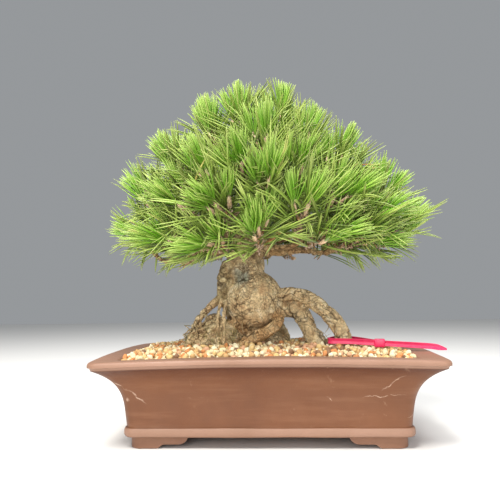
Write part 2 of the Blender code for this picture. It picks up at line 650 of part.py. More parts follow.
def twig_line(middle, outward, reach, joints):
    """A twig from the joint that lies best behind the tuft, curving into it; and that joint's body."""
    tip = middle - outward * reach * (1 - 2 * CANDLE_SHARE)
    base = middle - outward * reach * TWIG_BASE

    def detour(joint):
        way = base - Vector(joint[0][:3])
        if way.length < TWIG_LEAST:
            return math.inf
        return way.length * (DETOUR_COST - way.normalized().dot(outward))

    start, part = min(joints, key=detour)
    root = Vector(start[:3])
    bend = root.lerp(base, 0.55) + Vector((0.0, 0.0, -TWIG_SAG * (base - root).length))
    places = (root, bend, base, base.lerp(tip, 0.5), tip)
    radii = (min(start[3], TWIG_RADII[0]), *TWIG_RADII[1:])
    return [(*place, radius) for place, radius in zip(places, radii)], part


def lump(name, middle, half_sizes, extra=0.0, subdivisions=2, rough=0.08):
    """A knobbly ellipsoid, made wider by extra."""
    shape = bmesh.new()
    bmesh.ops.create_icosphere(shape, subdivisions=subdivisions, radius=1.0)
    for spot in shape.verts:
        swell = 1.0 + rough * noise.noise(spot.co * 2.2 + Vector(middle) * 40.0)
        away = Vector(a * (b * swell + extra) for a, b in zip(spot.co, half_sizes))
        spot.co = Vector(lifted(middle)) + away
    return mesh_from_bmesh(name, shape)


def trim(shape, place, away):
    """Takes off what lies past a plane and closes the cut."""
    found = bmesh.ops.bisect_plane(
        shape,
        geom=shape.verts[:] + shape.edges[:] + shape.faces[:],
        plane_co=place,
        plane_no=away,
        clear_outer=True,
    )
    rim = [item for item in found["geom_cut"] if isinstance(item, bmesh.types.BMEdge)]
    bmesh.ops.edgeloop_fill(shape, edges=rim)


def trunk_part(low, high, extra, side=0):
    """The trunk's tube between two heights, or one side of it, with flat cuts."""
    line = [lifted(point) for point in smooth_points(LIMBS["trunk"], 2)]
    shape = bmesh.new()
    shape.from_mesh(tube("trunk", line, 3, extra))
    if low is not None:
        trim(shape, (0.0, 0.0, low + TREE_LIFT), (0.0, 0.0, -1.0))
    if high is not None:
        trim(shape, (0.0, 0.0, high + TREE_LIFT), (0.0, 0.0, 1.0))
    if side:
        trim(shape, (SPLIT_X - side * extra, 0.0, 0.0), (-side, 0.0, 0.0))
    return mesh_from_bmesh("trunk_part", shape)


def limb_part(name):
    """Which of the wood's bodies a limb is in."""
    if name.startswith(("root", "fine_root", "old_bark")):
        return "globe_and_roots"
    if name in HIGH_LIMBS:
        return "high_branches"
    return "low_branches_left" if "left" in name or name == "deadwood_loop" else "low_branches_right"


def wood_pieces(extra, jointed=True):
    """The closed meshes of each of the wood's bodies, made wider by extra; unjointed, the trunk is whole."""
    globe = lump("globe", GLOBE_AT, (GLOBE_RADIUS,) * 3, extra, 3, 0.05)
    pieces = {
        "globe_and_roots": [globe], "low_branches_left": [], "low_branches_right": [], "high_branches": [],
    }
    if jointed:
        low, high = NECK_JOINT + GAP / 2, CROWN_JOINT - GAP / 2
        pieces["globe_and_roots"].append(trunk_part(None, NECK_JOINT + NECK_SPARE, extra))
        pieces["low_branches_left"].append(trunk_part(low, high, extra, -1))
        pieces["low_branches_right"].append(trunk_part(low, high, extra, 1))
        pieces["high_branches"].append(trunk_part(high + GAP, None, extra))
    else:
        pieces["globe_and_roots"].append(trunk_part(None, None, extra))
    for name, (middle, sizes) in ROOT_MATS.items():
        pieces["globe_and_roots"].append(lump(name, middle, sizes, extra))
    joints = []
    for name, points in LIMBS.items():
        line = [lifted(point) for point in smooth_points(points, 2)]
        part = limb_part(name)
        if name == "trunk":
            least = CROWN_JOINT + TREE_LIFT
            joints += [(point, "high_branches") for point in line if point[2] > least + point[3]]
            continue
        pieces[part].append(tube(name, line, 1, extra))
        if part != "globe_and_roots":
            joints += [(point, part) for point in line[3:]]
    for middle, outward, reach, _ in tuft_places():
        line, part = twig_line(middle, outward, reach, joints)
        pieces[part].append(tube("twig", smooth_points(line, 1), 0, extra))
    return pieces


def grow_together(name, pieces, collection, finish=None):
    """One closed body from closed pieces that overlap."""
    grown = object_from(name, pieces[0], collection, finish)
    for piece in pieces[1:]:
        added = bpy.data.objects.new(name + "_piece", piece)
        bpy.context.scene.collection.objects.link(added)
        step = grown.modifiers.new("joined", "BOOLEAN")
        step.operation = "UNION"
        step.object = added
        step.solver = "MANIFOLD"
        bake(grown, weld=False)
        bpy.data.objects.remove(added, do_unlink=True)
    keep_main_body(grown)
    return grown


def make_wood(parts, cutters):
    """The four bodies of wood, each clear of those before; then all a little wider, as clearance."""
    rooms = []
    for name, meshes in wood_pieces(0.0).items():
        finish = material("pine_wood_" + name, (0.46, 0.30, 0.16), 0.85)
        grown = grow_together(name, meshes, parts, finish)
        if name == "globe_and_roots":
            shape = bmesh.new()
            shape.from_mesh(grown.data)
            trim(shape, (0.0, 0.0, NECK_JOINT - GAP / 2 + TREE_LIFT), (0.0, 0.0, 1.0))
            shape.to_mesh(grown.data)
            shape.free()
            continue
        for room in rooms:
            cut(grown, room, "MANIFOLD")
        bake(grown, weld=False)
        keep_main_body(grown)
        rooms.append(grow_together(name + "_clearance", wood_pieces(SEAT_GAP)[name], cutters))
    return grow_together("wood_clearance", sum(wood_pieces(SEAT_GAP, jointed=False).values(), []), cutters)


def make_tufts(parts, wood_room):
    """Needle tufts: each one's room ends halfway to its neighbours, and its twig has a seat in it."""
    places = tuft_places()
    for number, (middle, outward, reach, spread) in enumerate(places, start=1):
        finish = material(f"pine_needles_{number:02d}", (0.16, 0.33, 0.07), 0.5)
        shape = bmesh.new()
        bmesh.ops.create_icosphere(shape, subdivisions=1, radius=1.0)
        turn = outward.to_track_quat("Z", "Y").to_matrix()
        for spot in shape.verts:
            spot.co = middle + turn @ Vector((spot.co.x * spread, spot.co.y * spread, spot.co.z * reach))
        for other, _, _, _ in places:
            away = other - middle
            if 0.0 < away.length < 2.2 * reach:
                side = away.normalized()
                bmesh.ops.bisect_plane(
                    shape,
                    geom=shape.verts[:] + shape.edges[:] + shape.faces[:],
                    plane_co=middle + away / 2 - side * GAP / 2,
                    plane_no=side,
                    clear_outer=True,
                )
        bmesh.ops.remove_doubles(shape, verts=shape.verts[:], dist=SLIVER)
        hull = bmesh.new()
        corners = [hull.verts.new(spot.co) for spot in shape.verts]
        shape.free()
        spare = bmesh.ops.convex_hull(hull, input=corners)
        inside = {item for item in spare["geom_interior"] if isinstance(item, bmesh.types.BMVert)}
        bmesh.ops.delete(hull, geom=list(inside), context="VERTS")
        name = f"needle_tuft_{number:02d}"
        tuft = object_from(name, mesh_from_bmesh(name, hull), parts, finish)
        cut(tuft, wood_room, "MANIFOLD")
        bake(tuft)
        keep_main_body(tuft)


# ---------------------------------------------------------------- the label
def make_label(parts, cutters):
    """A plastic strap on edge: its tail passes through its own lock and closes a loop round a root."""
    finish = material("pink_plastic", (0.90, 0.05, 0.20), 0.4)
    line = [lifted(point) for point in smooth_points(LABEL_ROUTE, 3)]
    shape = bmesh.new()
    rows = []
    narrow = LABEL_TAIL_POINTS * 3
    for i, point in enumerate(line):
        here = Vector(point)
        ahead = Vector(line[min(i + 1, len(line) - 1)]) - Vector(line[max(i - 1, 0)])
        side = Vector((-ahead.y, ahead.x, 0.0)).normalized() * LABEL_THICKNESS / 2
        high = LABEL_HEIGHT / 2 * min(1.0, LABEL_TIP_SHARE + (1 - LABEL_TIP_SHARE) * i / narrow)
        up = Vector((0.0, 0.0, high))
        rows.append([shape.verts.new(here + a) for a in (side - up, side + up, -side + up, -side - up)])
    for near, far in zip(rows, rows[1:]):
        for i in range(4):
            k = (i + 1) % 4
            shape.faces.new((near[i], near[k], far[k], far[i]))
    shape.faces.new(rows[0])
    shape.faces.new(rows[-1])
    label = object_from("plant_label", mesh_from_bmesh("plant_label", shape), parts, finish)
    bpy.ops.mesh.primitive_cube_add(size=1.0)
    lock = adopt_primitive("label_lock", cutters)
    lock.scale = LOCK_SIZE
    lock.location = lifted(LOCK_AT)
    lock.rotation_euler = (0.0, 0.0, math.radians(LOCK_TURN))
    joined = label.modifiers.new("lock", "BOOLEAN")
    joined.operation = "UNION"
    joined.object = lock
    joined.solver = "EXACT"
    bake(label)
    bpy.data.objects.remove(lock, do_unlink=True)


def main():
    clear_scene()
    parts = new_collection("bonsai_tree_in_pot")
    cutters = new_collection("cutters", hidden=True)
    make_pot(parts, cutters)
    for side in (-1, 1):
        make_drain_mesh(side, parts)
        make_mesh_clip(side, parts)
    wood_room = make_wood(parts, cutters)
    make_soil(parts, cutters, wood_room)
    make_top_dressing(parts, wood_room)
    make_tufts(parts, wood_room)
    make_label(parts, cutters)


main()
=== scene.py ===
"""Looks of the globe-rooted pine bonsai: needles, bark, roots, gravel, stoneware pot and plant label.

Metres, +Z up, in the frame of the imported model. Everything rides on the one body.
"""

import json
import math
import random

import bmesh
import bpy
import numpy as np
from mathutils import Euler, Matrix, Quaternion, Vector, noise

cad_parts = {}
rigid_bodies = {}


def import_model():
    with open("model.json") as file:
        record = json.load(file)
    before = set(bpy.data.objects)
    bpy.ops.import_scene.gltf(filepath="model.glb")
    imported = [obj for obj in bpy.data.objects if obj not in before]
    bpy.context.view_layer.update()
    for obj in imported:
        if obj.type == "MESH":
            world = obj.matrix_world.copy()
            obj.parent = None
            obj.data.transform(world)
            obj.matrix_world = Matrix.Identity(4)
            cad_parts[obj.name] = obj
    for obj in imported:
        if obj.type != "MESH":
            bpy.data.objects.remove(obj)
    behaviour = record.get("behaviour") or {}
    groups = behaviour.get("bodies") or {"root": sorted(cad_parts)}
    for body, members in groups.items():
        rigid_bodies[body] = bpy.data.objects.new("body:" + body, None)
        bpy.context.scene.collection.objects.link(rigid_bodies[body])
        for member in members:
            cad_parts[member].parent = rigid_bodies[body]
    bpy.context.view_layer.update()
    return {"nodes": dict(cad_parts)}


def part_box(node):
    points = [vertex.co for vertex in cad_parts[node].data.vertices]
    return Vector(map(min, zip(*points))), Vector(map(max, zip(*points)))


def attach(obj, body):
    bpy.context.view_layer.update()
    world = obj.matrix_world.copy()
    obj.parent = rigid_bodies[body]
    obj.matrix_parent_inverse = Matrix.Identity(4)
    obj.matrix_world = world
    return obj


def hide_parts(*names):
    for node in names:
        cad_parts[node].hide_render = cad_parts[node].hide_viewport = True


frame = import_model()
BODY = "root"

# ---------------------------------------------------------------- sizes
RIM_X, RIM_Y, POT_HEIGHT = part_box("pot")[1]
LIP_WIDTH = 0.0225
LIP_EDGE = 0.0076
LIP_ROUND = 0.0030
LIP_UNDERCUT = 0.0022
LIP_UNDER_ROUND = 0.0030
LIP_DROOP = 0.003
LIP_OVERHANG = 0.0257
BAND_HEIGHT = 0.0082
BAND_BULGE = 0.002
LEAN_SHARE = 0.20
FLARE_POWER = 4.1
WALL = 0.0075
FLOOR = 0.008
OUTER_CORNER = 0.010
INNER_CORNER = 0.007
FOOT_HEIGHT = 0.0106
FOOT_INSET = 0.0055
FOOT_WIDTH = 0.014
FOOT_SOLE = 0.0235
FOOT_STEP = 0.0037
FOOT_STEP_RUN = 0.0077
FOOT_LEDGE = 0.0433
FOOT_LENGTH = 0.0525
DRAIN_SPACING = 0.124
DRAIN_RADIUS = 0.011

GLOBE_AT = Vector((-0.0150, 0.0, 0.1295))
GLOBE_RADIUS = 0.0325
HEART = Vector((-0.004, 0.0, 0.222))
SHOOT_LIFT = 0.42
NEEDLE_WIDTH = 0.0020
NEEDLE_LENGTH = 0.060
NEEDLE_ROWS = 6
PAIR_OPENING = 0.09
GOLDEN_TURN = 2.39996
WOOD_NODES = ("globe_and_roots", "low_branches_left", "low_branches_right", "high_branches")
# The heart of the trunk, which joins the bodies of wood: x, y, z, radius.
TRUNK_HEART = (
    (-0.0215, 0.0, 0.163, 0.0205), (-0.0225, 0.0, 0.172, 0.0200), (-0.0230, 0.0, 0.180, 0.0190),
    (-0.0200, 0.001, 0.196, 0.0165), (-0.0160, 0.002, 0.209, 0.0130), (-0.0140, 0.003, 0.216, 0.0105),
)

# The crown's outline from the front: height, left edge, right edge.
CROWN = (
    (0.158, -0.120, 0.110), (0.173, -0.159, 0.165), (0.185, -0.167, 0.181), (0.200, -0.173, 0.176),
    (0.212, -0.163, 0.190), (0.227, -0.157, 0.186), (0.236, -0.155, 0.168), (0.247, -0.158, 0.159),
    (0.260, -0.163, 0.154), (0.268, -0.152, 0.140), (0.285, -0.142, 0.128), (0.302, -0.133, 0.116),
    (0.312, -0.117, 0.106), (0.321, -0.103, 0.083), (0.334, -0.089, 0.067), (0.346, -0.082, 0.053),
    (0.357, -0.068, 0.040), (0.366, -0.042, 0.034), (0.371, -0.036, 0.022), (0.375, -0.016, 0.007),
)
CROWN_DEPTH = 0.76  # depth of the crown as a share of its width
CROWN_TOP = 0.375
# The crown's underside: at its sides, in its middle, and over the gap right of the trunk, front and back.
SIDE_LOW, MIDDLE_LOW, GAP_LOW_FRONT, GAP_LOW_BACK = 0.163, 0.170, 0.193, 0.185
EYE_SIDE, EYE_HEIGHT, EYE_DISTANCE = 0.0064, 0.1267, 0.5351
EYE_TURN = (2.56, 6.11, 0.72)  # yaw, pitch and roll in degrees
# Lamps: name, place, target, size, power, colour.
LAMPS = (
    ("key", (-0.38, -0.82, 1.38), (0.0, 0.0, 0.16), 0.6, 34.0, (1.0, 0.98, 0.94)),
    ("top", (0.15, 0.0, 1.50), (0.0, 0.0, 0.18), 0.8, 20.0, (1.0, 1.0, 1.0)),
    ("front", (-0.25, -1.5, 0.42), (0.0, 0.0, 0.14), 0.7, 10.0, (1.0, 0.98, 0.95)),
    ("fill", (1.1, -0.8, 0.6), (0.0, 0.0, 0.15), 1.0, 6.0, (0.94, 0.97, 1.0)),
)


# ---------------------------------------------------------------- camera, light and floor
def make_camera():
    data = bpy.data.cameras.new("camera")
    data.lens = 36.0
    data.sensor_width = 36.0
    data.clip_start = 0.01
    camera = bpy.data.objects.new("camera", data)
    bpy.context.scene.collection.objects.link(camera)
    yaw, pitch, roll = (math.radians(angle) for angle in EYE_TURN)
    turn = Matrix.Rotation(yaw, 4, "Z") @ Matrix.Rotation(pitch, 4, "X") @ Matrix.Rotation(roll, 4, "Y")
    level = Matrix.Rotation(math.radians(90), 4, "X")
    camera.matrix_world = Matrix.Translation((EYE_SIDE, -EYE_DISTANCE, EYE_HEIGHT)) @ turn @ level
    bpy.context.scene.camera = camera


def make_area_light(name, place, target, size, power, colour):
    data = bpy.data.lights.new(name, "AREA")
    data.shape = "DISK"
    data.size = size
    data.energy = power
    data.color = colour
    lamp = bpy.data.objects.new(name, data)
    bpy.context.scene.collection.objects.link(lamp)
    aim = (Vector(target) - Vector(place)).to_track_quat("-Z", "Y")
    lamp.matrix_world = Matrix.Translation(place) @ aim.to_matrix().to_4x4()


def make_studio():
    world = bpy.data.worlds.new("studio")
    bpy.context.scene.world = world
    world.use_nodes = True
    sky = world.node_tree.nodes["Background"]
    sky.inputs["Color"].default_value = (0.92, 0.96, 1.0, 1.0)
    sky.inputs["Strength"].default_value = 0.33
    for lamp in LAMPS:
        make_area_light(*lamp)
    bpy.ops.mesh.primitive_plane_add(size=6.0)
    floor = bpy.context.object
    floor.name = "pale_floor"
    paint = bpy.data.materials.new("pale_floor")
    paint.use_nodes = True
    shader = paint.node_tree.nodes["Principled BSDF"]
    shader.inputs["Base Color"].default_value = (0.78, 0.77, 0.75, 1.0)
    shader.inputs["Roughness"].default_value = 0.8
    floor.data.materials.append(paint)
    bpy.context.scene.view_settings.view_transform = "Standard"


# ---------------------------------------------------------------- mesh helpers
def link_object(name, mesh, finish=None):
    made = bpy.data.objects.new(name, mesh)
    bpy.context.scene.collection.objects.link(made)
    if finish:
        mesh.materials.clear()
        mesh.materials.append(finish)
    return made


def mesh_from_bmesh(name, shape):
    """A mesh of the shape, which it frees, with its faces pointing outwards."""
    bmesh.ops.recalc_face_normals(shape, faces=shape.faces)
    mesh = bpy.data.meshes.new(name)
    shape.to_mesh(mesh)
    shape.free()
    return mesh


def smooth_object(name, shape, finish=None):
    mesh = mesh_from_bmesh(name, shape)
    mesh.shade_smooth()
    return link_object(name, mesh, finish)


def flatten(obj):
    """Turns the object's evaluated result into its plain mesh and takes its modifiers off."""
    bpy.context.view_layer.update()
    graph = bpy.context.evaluated_depsgraph_get()
    mesh = bpy.data.meshes.new_from_object(obj.evaluated_get(graph))
    obj.modifiers.clear()
    obj.data = mesh
    return obj


def remove_object(obj):
    bpy.data.objects.remove(obj, do_unlink=True)


def stray(rng, spread):
    """A random vector, normally distributed about nothing."""
    return Vector([rng.gauss(0, spread) for _ in range(3)])


def finish_piece(piece, slot, *nodes):
    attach(piece, BODY)
    for node in nodes:
        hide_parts(node)
    return piece


def smooth_points(points, steps):
    """A Catmull-Rom curve through points of any number of values."""
    ends = [points[0]] + list(points) + [points[-1]]
    found = []
    for i in range(len(points) - 1):
        four = np.array(ends[i:i + 4], float)
        for k in range(steps):
            t = k / steps
            weights = np.array((
                -0.5 * t + t * t - 0.5 * t ** 3,
                1 - 2.5 * t * t + 1.5 * t ** 3,
                0.5 * t + 2 * t * t - 1.5 * t ** 3,
                -0.5 * t * t + 0.5 * t ** 3,
            ))
            found.append(tuple(weights @ four))
    found.append(tuple(points[-1]))
    return found


def join_rings(shape, rings):
    """Adds the faces between rings of vertices, leaving both ends open."""
    for near, far in zip(rings, rings[1:]):
        for i in range(len(near)):
            k = (i + 1) % len(near)
            shape.faces.new((near[i], near[k], far[k], far[i]))


def add_tube(shape, points, sides, mark=None, marks=None):
    """Adds a closed tube through x, y, z, radius points; marks holds each ring's value of the mark."""
    rows = []
    side = None
    for i, point in enumerate(points):
        here = Vector(point[:3])
        ahead = Vector(points[min(i + 1, len(points) - 1)][:3]) - Vector(points[max(i - 1, 0)][:3])
        ahead.normalize()
        if side is None:
            side = ahead.orthogonal().normalized()
        side = (side - ahead * side.dot(ahead)).normalized()
        up = ahead.cross(side)
        ring = []
        for k in range(sides):
            turn = 2 * math.pi * k / sides
            spot = shape.verts.new(here + (side * math.cos(turn) + up * math.sin(turn)) * point[3])
            if mark is not None:
                spot[mark] = marks[i]
            ring.append(spot)
        rows.append(ring)
    join_rings(shape, rows)
    shape.faces.new(rows[0][::-1])
    shape.faces.new(rows[-1])


# ---------------------------------------------------------------- shader helpers
class Nodes:
    """Short ways to add nodes to a tree."""

    def __init__(self, tree):
        self.tree = tree

    def add(self, kind, **values):
        node = self.tree.nodes.new(kind)
        for key, value in values.items():
            setattr(node, key, value)
        return node

    def link(self, source, target):
        self.tree.links.new(source, target)

    def coords(self):
        return self.add("ShaderNodeTexCoord").outputs["Object"]

    def noise(self, scale, detail=4.0, rough=0.55, where=None, distort=0.0):
        node = self.add("ShaderNodeTexNoise")
        node.inputs["Scale"].default_value = scale
        node.inputs["Detail"].default_value = detail
        node.inputs["Roughness"].default_value = rough
        node.inputs["Distortion"].default_value = distort
        self.link(where or self.coords(), node.inputs["Vector"])
        return node.outputs["Fac"]

    def cells(self, scale, feature="F1", where=None, output="Distance"):
        node = self.add("ShaderNodeTexVoronoi", feature=feature)
        node.inputs["Scale"].default_value = scale
        self.link(where or self.coords(), node.inputs["Vector"])
        return node.outputs[output]

    def attribute(self, name):
        return self.add("ShaderNodeAttribute", attribute_name=name).outputs["Fac"]

    def ramp(self, value, stops):
        node = self.add("ShaderNodeValToRGB")
        ramp = node.color_ramp
        while len(ramp.elements) < len(stops):
            ramp.elements.new(0.5)
        for element, (place, colour) in zip(ramp.elements, stops):
            element.position = place
            element.color = (*colour, 1.0) if len(colour) == 3 else colour
        self.link(value, node.inputs["Fac"])
        return node.outputs["Color"]

    def span(self, value, low, high, to_low=0.0, to_high=1.0):
        node = self.add("ShaderNodeMapRange")
        for key, number in (("From Min", low), ("From Max", high), ("To Min", to_low), ("To Max", to_high)):
            node.inputs[key].default_value = number
        self.link(value, node.inputs["Value"])
        return node.outputs["Result"]

    def math(self, how, first, second=None):
        node = self.add("ShaderNodeMath", operation=how)
        for socket, value in zip(node.inputs, (first, second)):
            if isinstance(value, (int, float)):
                socket.default_value = value
            elif value is not None:
                self.link(value, socket)
        return node.outputs["Value"]

    def mix(self, share, first, second, how="MIX"):
        node = self.add("ShaderNodeMix", data_type="RGBA", blend_type=how, clamp_factor=True)
        for socket, value in zip((node.inputs[0], node.inputs[6], node.inputs[7]), (share, first, second)):
            if isinstance(value, (int, float)):
                socket.default_value = value
            elif isinstance(value, tuple):
                socket.default_value = (*value, 1.0)
            else:
                self.link(value, socket)
        return node.outputs[2]


def new_tree(name, kind, sockets):
    """A node tree with sockets of (name, kind, way); returns it with its helper, entry and exit."""
    tree = bpy.data.node_groups.new(name, kind)
    for key, socket, way in sockets:
        tree.interface.new_socket(name=key, in_out=way, socket_type=socket)
    nodes = Nodes(tree)
    return tree, nodes, nodes.add("NodeGroupInput"), nodes.add("NodeGroupOutput")


def new_material(name, roughness=0.6, **sockets):
    """A material with a Principled shader; returns it with its node helper and shader."""
    made = bpy.data.materials.new(name)
    made.use_nodes = True
    shader = made.node_tree.nodes["Principled BSDF"]
    shader.inputs["Roughness"].default_value = roughness
    for key, value in sockets.items():
        shader.inputs[key.replace("_", " ")].default_value = value
    return made, Nodes(made.node_tree), shader


def bump(nodes, shader, height, distance, strength=1.0):
    node = nodes.add("ShaderNodeBump")
    node.inputs["Distance"].default_value = distance
    node.inputs["Strength"].default_value = strength
    nodes.link(height, node.inputs["Height"])
    nodes.link(node.outputs["Normal"], shader.inputs["Normal"])


def grain_group():
    """Fine mineral grain, shared by the fired clay, the gravel and the soil."""
    tree, nodes, entry, leave = new_tree("mineral_grain", "ShaderNodeTree", (
        ("Vector", "NodeSocketVector", "INPUT"),
        ("Grain Scale", "NodeSocketFloat", "INPUT"),
        ("Speck Amount", "NodeSocketFloat", "INPUT"),
        ("Height", "NodeSocketFloat", "OUTPUT"),
        ("Specks", "NodeSocketFloat", "OUTPUT"),
    ))
    fine = nodes.add("ShaderNodeTexNoise")
    fine.inputs["Detail"].default_value = 3.0
    nodes.link(entry.outputs["Vector"], fine.inputs["Vector"])
    nodes.link(entry.outputs["Grain Scale"], fine.inputs["Scale"])
    pits = nodes.add("ShaderNodeTexVoronoi")
    nodes.link(entry.outputs["Vector"], pits.inputs["Vector"])
    nodes.link(nodes.math("MULTIPLY", entry.outputs["Grain Scale"], 0.45), pits.inputs["Scale"])
    near = nodes.span(pits.outputs["Distance"], 0.10, 0.22, 1.0, 0.0)
    specks = nodes.math("MULTIPLY", near, entry.outputs["Speck Amount"])
    nodes.link(specks, leave.inputs["Specks"])
    nodes.link(nodes.math("SUBTRACT", fine.outputs["Fac"], specks), leave.inputs["Height"])
    return tree


GRAIN = grain_group()


def grain(nodes, scale, specks):
    node = nodes.add("ShaderNodeGroup", node_tree=GRAIN)
    nodes.link(nodes.coords(), node.inputs["Vector"])
    node.inputs["Grain Scale"].default_value = scale
    node.inputs["Speck Amount"].default_value = specks
    return node.outputs["Height"], node.outputs["Specks"]


# ---------------------------------------------------------------- materials
def warped(nodes, scale, reach):
    """Object coordinates pushed about by noise, up to half the reach."""
    warp = nodes.add("ShaderNodeTexNoise")
    warp.inputs["Scale"].default_value = scale
    warp.inputs["Detail"].default_value = 4.0
    nodes.link(nodes.coords(), warp.inputs["Vector"])
    shift = nodes.add("ShaderNodeVectorMath", operation="MULTIPLY_ADD")
    nodes.link(warp.outputs["Color"], shift.inputs[0])
    shift.inputs[1].default_value = (reach, reach, reach)
    nodes.link(nodes.coords(), shift.inputs[2])
    return shift.outputs["Vector"]


def line_mark(nodes, where, x, z, angle, length, width, gate):
    """A thin scuff on the front wall, at an angle in degrees to the level, fading at its ends."""
    turn = math.radians(angle)
    away = nodes.add("ShaderNodeVectorMath", operation="SUBTRACT")
    nodes.link(where, away.inputs[0])
    away.inputs[1].default_value = (x, 0.0, z)
    fades = []
    level, rise = math.cos(turn), math.sin(turn)
    for way, reach in (((level, 0.0, rise), length / 2), ((-rise, 0.0, level), width)):
        along = nodes.add("ShaderNodeVectorMath", operation="DOT_PRODUCT")
        nodes.link(away.outputs["Vector"], along.inputs[0])
        along.inputs[1].default_value = way
        away_by = nodes.math("ABSOLUTE", along.outputs["Value"])
        fades.append(nodes.span(away_by, reach * 0.35, reach, 1.0, 0.0))
    return nodes.math("MULTIPLY", nodes.math("MULTIPLY", *fades), gate)


WARP_SCALE, WARP_REACH = 90.0, 0.010  # the warp that makes the handling marks crooked
# Handling marks on the front wall: x, z, angle, length, width.
MARKS = (
    (-0.1320, 0.0586, -29, 0.0240, 0.0008), (-0.1148, 0.0465, -41, 0.0210, 0.0007),
    (-0.1324, 0.0494, -60, 0.0090, 0.0009), (-0.1228, 0.0443, -45, 0.0045, 0.0010),
    (0.1065, 0.0580, 36, 0.0250, 0.0007), (0.0990, 0.0459, 1, 0.0400, 0.0004),
    (0.1240, 0.0290, 10, 0.0100, 0.0005), (0.0534, 0.0450, -30, 0.0060, 0.0006),
)


def stoneware():
    """Unglazed red-brown clay: paler on the lip, the band and the feet, with painted shade under the lip, and
    with scuffs and grain.
    """
    made, nodes, shader = new_material("unglazed_stoneware", Specular_IOR_Level=0.40)
    height, specks = grain(nodes, 1500.0, 0.5)
    cloud = nodes.noise(14.0, 5.0, 0.6)
    base = nodes.ramp(cloud, (
        (0.30, (0.126, 0.044, 0.016)), (0.52, (0.158, 0.057, 0.021)), (0.75, (0.190, 0.073, 0.029)),
    ))
    stretched = nodes.add("ShaderNodeMapping")
    stretched.inputs["Scale"].default_value = (1.0, 1.0, 9.0)
    nodes.link(nodes.coords(), stretched.inputs["Vector"])
    lines = nodes.noise(14.0, 4.0, 0.6, where=stretched.outputs["Vector"])
    base = nodes.mix(nodes.span(lines, 0.50, 0.72, 0.0, 0.40), base, (0.25, 0.112, 0.055))
    # Painted shade on the wall under the overhanging lip, darkest just below it.
    base = nodes.mix(nodes.math("MULTIPLY", nodes.attribute("under_lip_shade"), 0.85), base, (0.065, 0.014, 0.003))
    depth = nodes.add("ShaderNodeSeparateXYZ")
    nodes.link(nodes.coords(), depth.inputs["Vector"])
    front = nodes.span(depth.outputs["Y"], -0.06, -0.05, 1.0, 0.0)
    gate = nodes.math("MULTIPLY", nodes.span(nodes.noise(260.0, 3.0), 0.36, 0.56), front)
    where = warped(nodes, WARP_SCALE, WARP_REACH)
    for x, z, angle, length, width in MARKS:
        mark = line_mark(nodes, where, x + WARP_REACH / 2, z + WARP_REACH / 2, angle, length, width, gate)
        base = nodes.mix(nodes.math("MULTIPLY", mark, 0.80), base, (0.54, 0.37, 0.27))
    streaks = nodes.noise(60.0, 6.0, 0.7, distort=1.6)
    scuffed = nodes.span(nodes.noise(11.0, 2.0), 0.50, 0.66)
    scuffs = nodes.math("MULTIPLY", nodes.span(streaks, 0.62, 0.74), scuffed)
    base = nodes.mix(nodes.math("MULTIPLY", scuffs, 0.40), base, (0.50, 0.31, 0.20))
    # Paler clay on the lip, the band and the feet, as weather_pot marks them.
    paler_lip_band_feet = nodes.mix(nodes.span(cloud, 0.35, 0.65), (0.262, 0.144, 0.092), (0.318, 0.182, 0.124))
    base = nodes.mix(nodes.attribute("paler_lip_band_feet"), base, paler_lip_band_feet)
    base = nodes.mix(nodes.math("MULTIPLY", specks, 0.40), base, (0.13, 0.06, 0.035))
    nodes.link(base, shader.inputs["Base Color"])
    nodes.link(nodes.span(nodes.noise(45.0, 4.0), 0.3, 0.7, 0.44, 0.60), shader.inputs["Roughness"])
    bump(nodes, shader, height, 0.00016, 0.8)
    return made


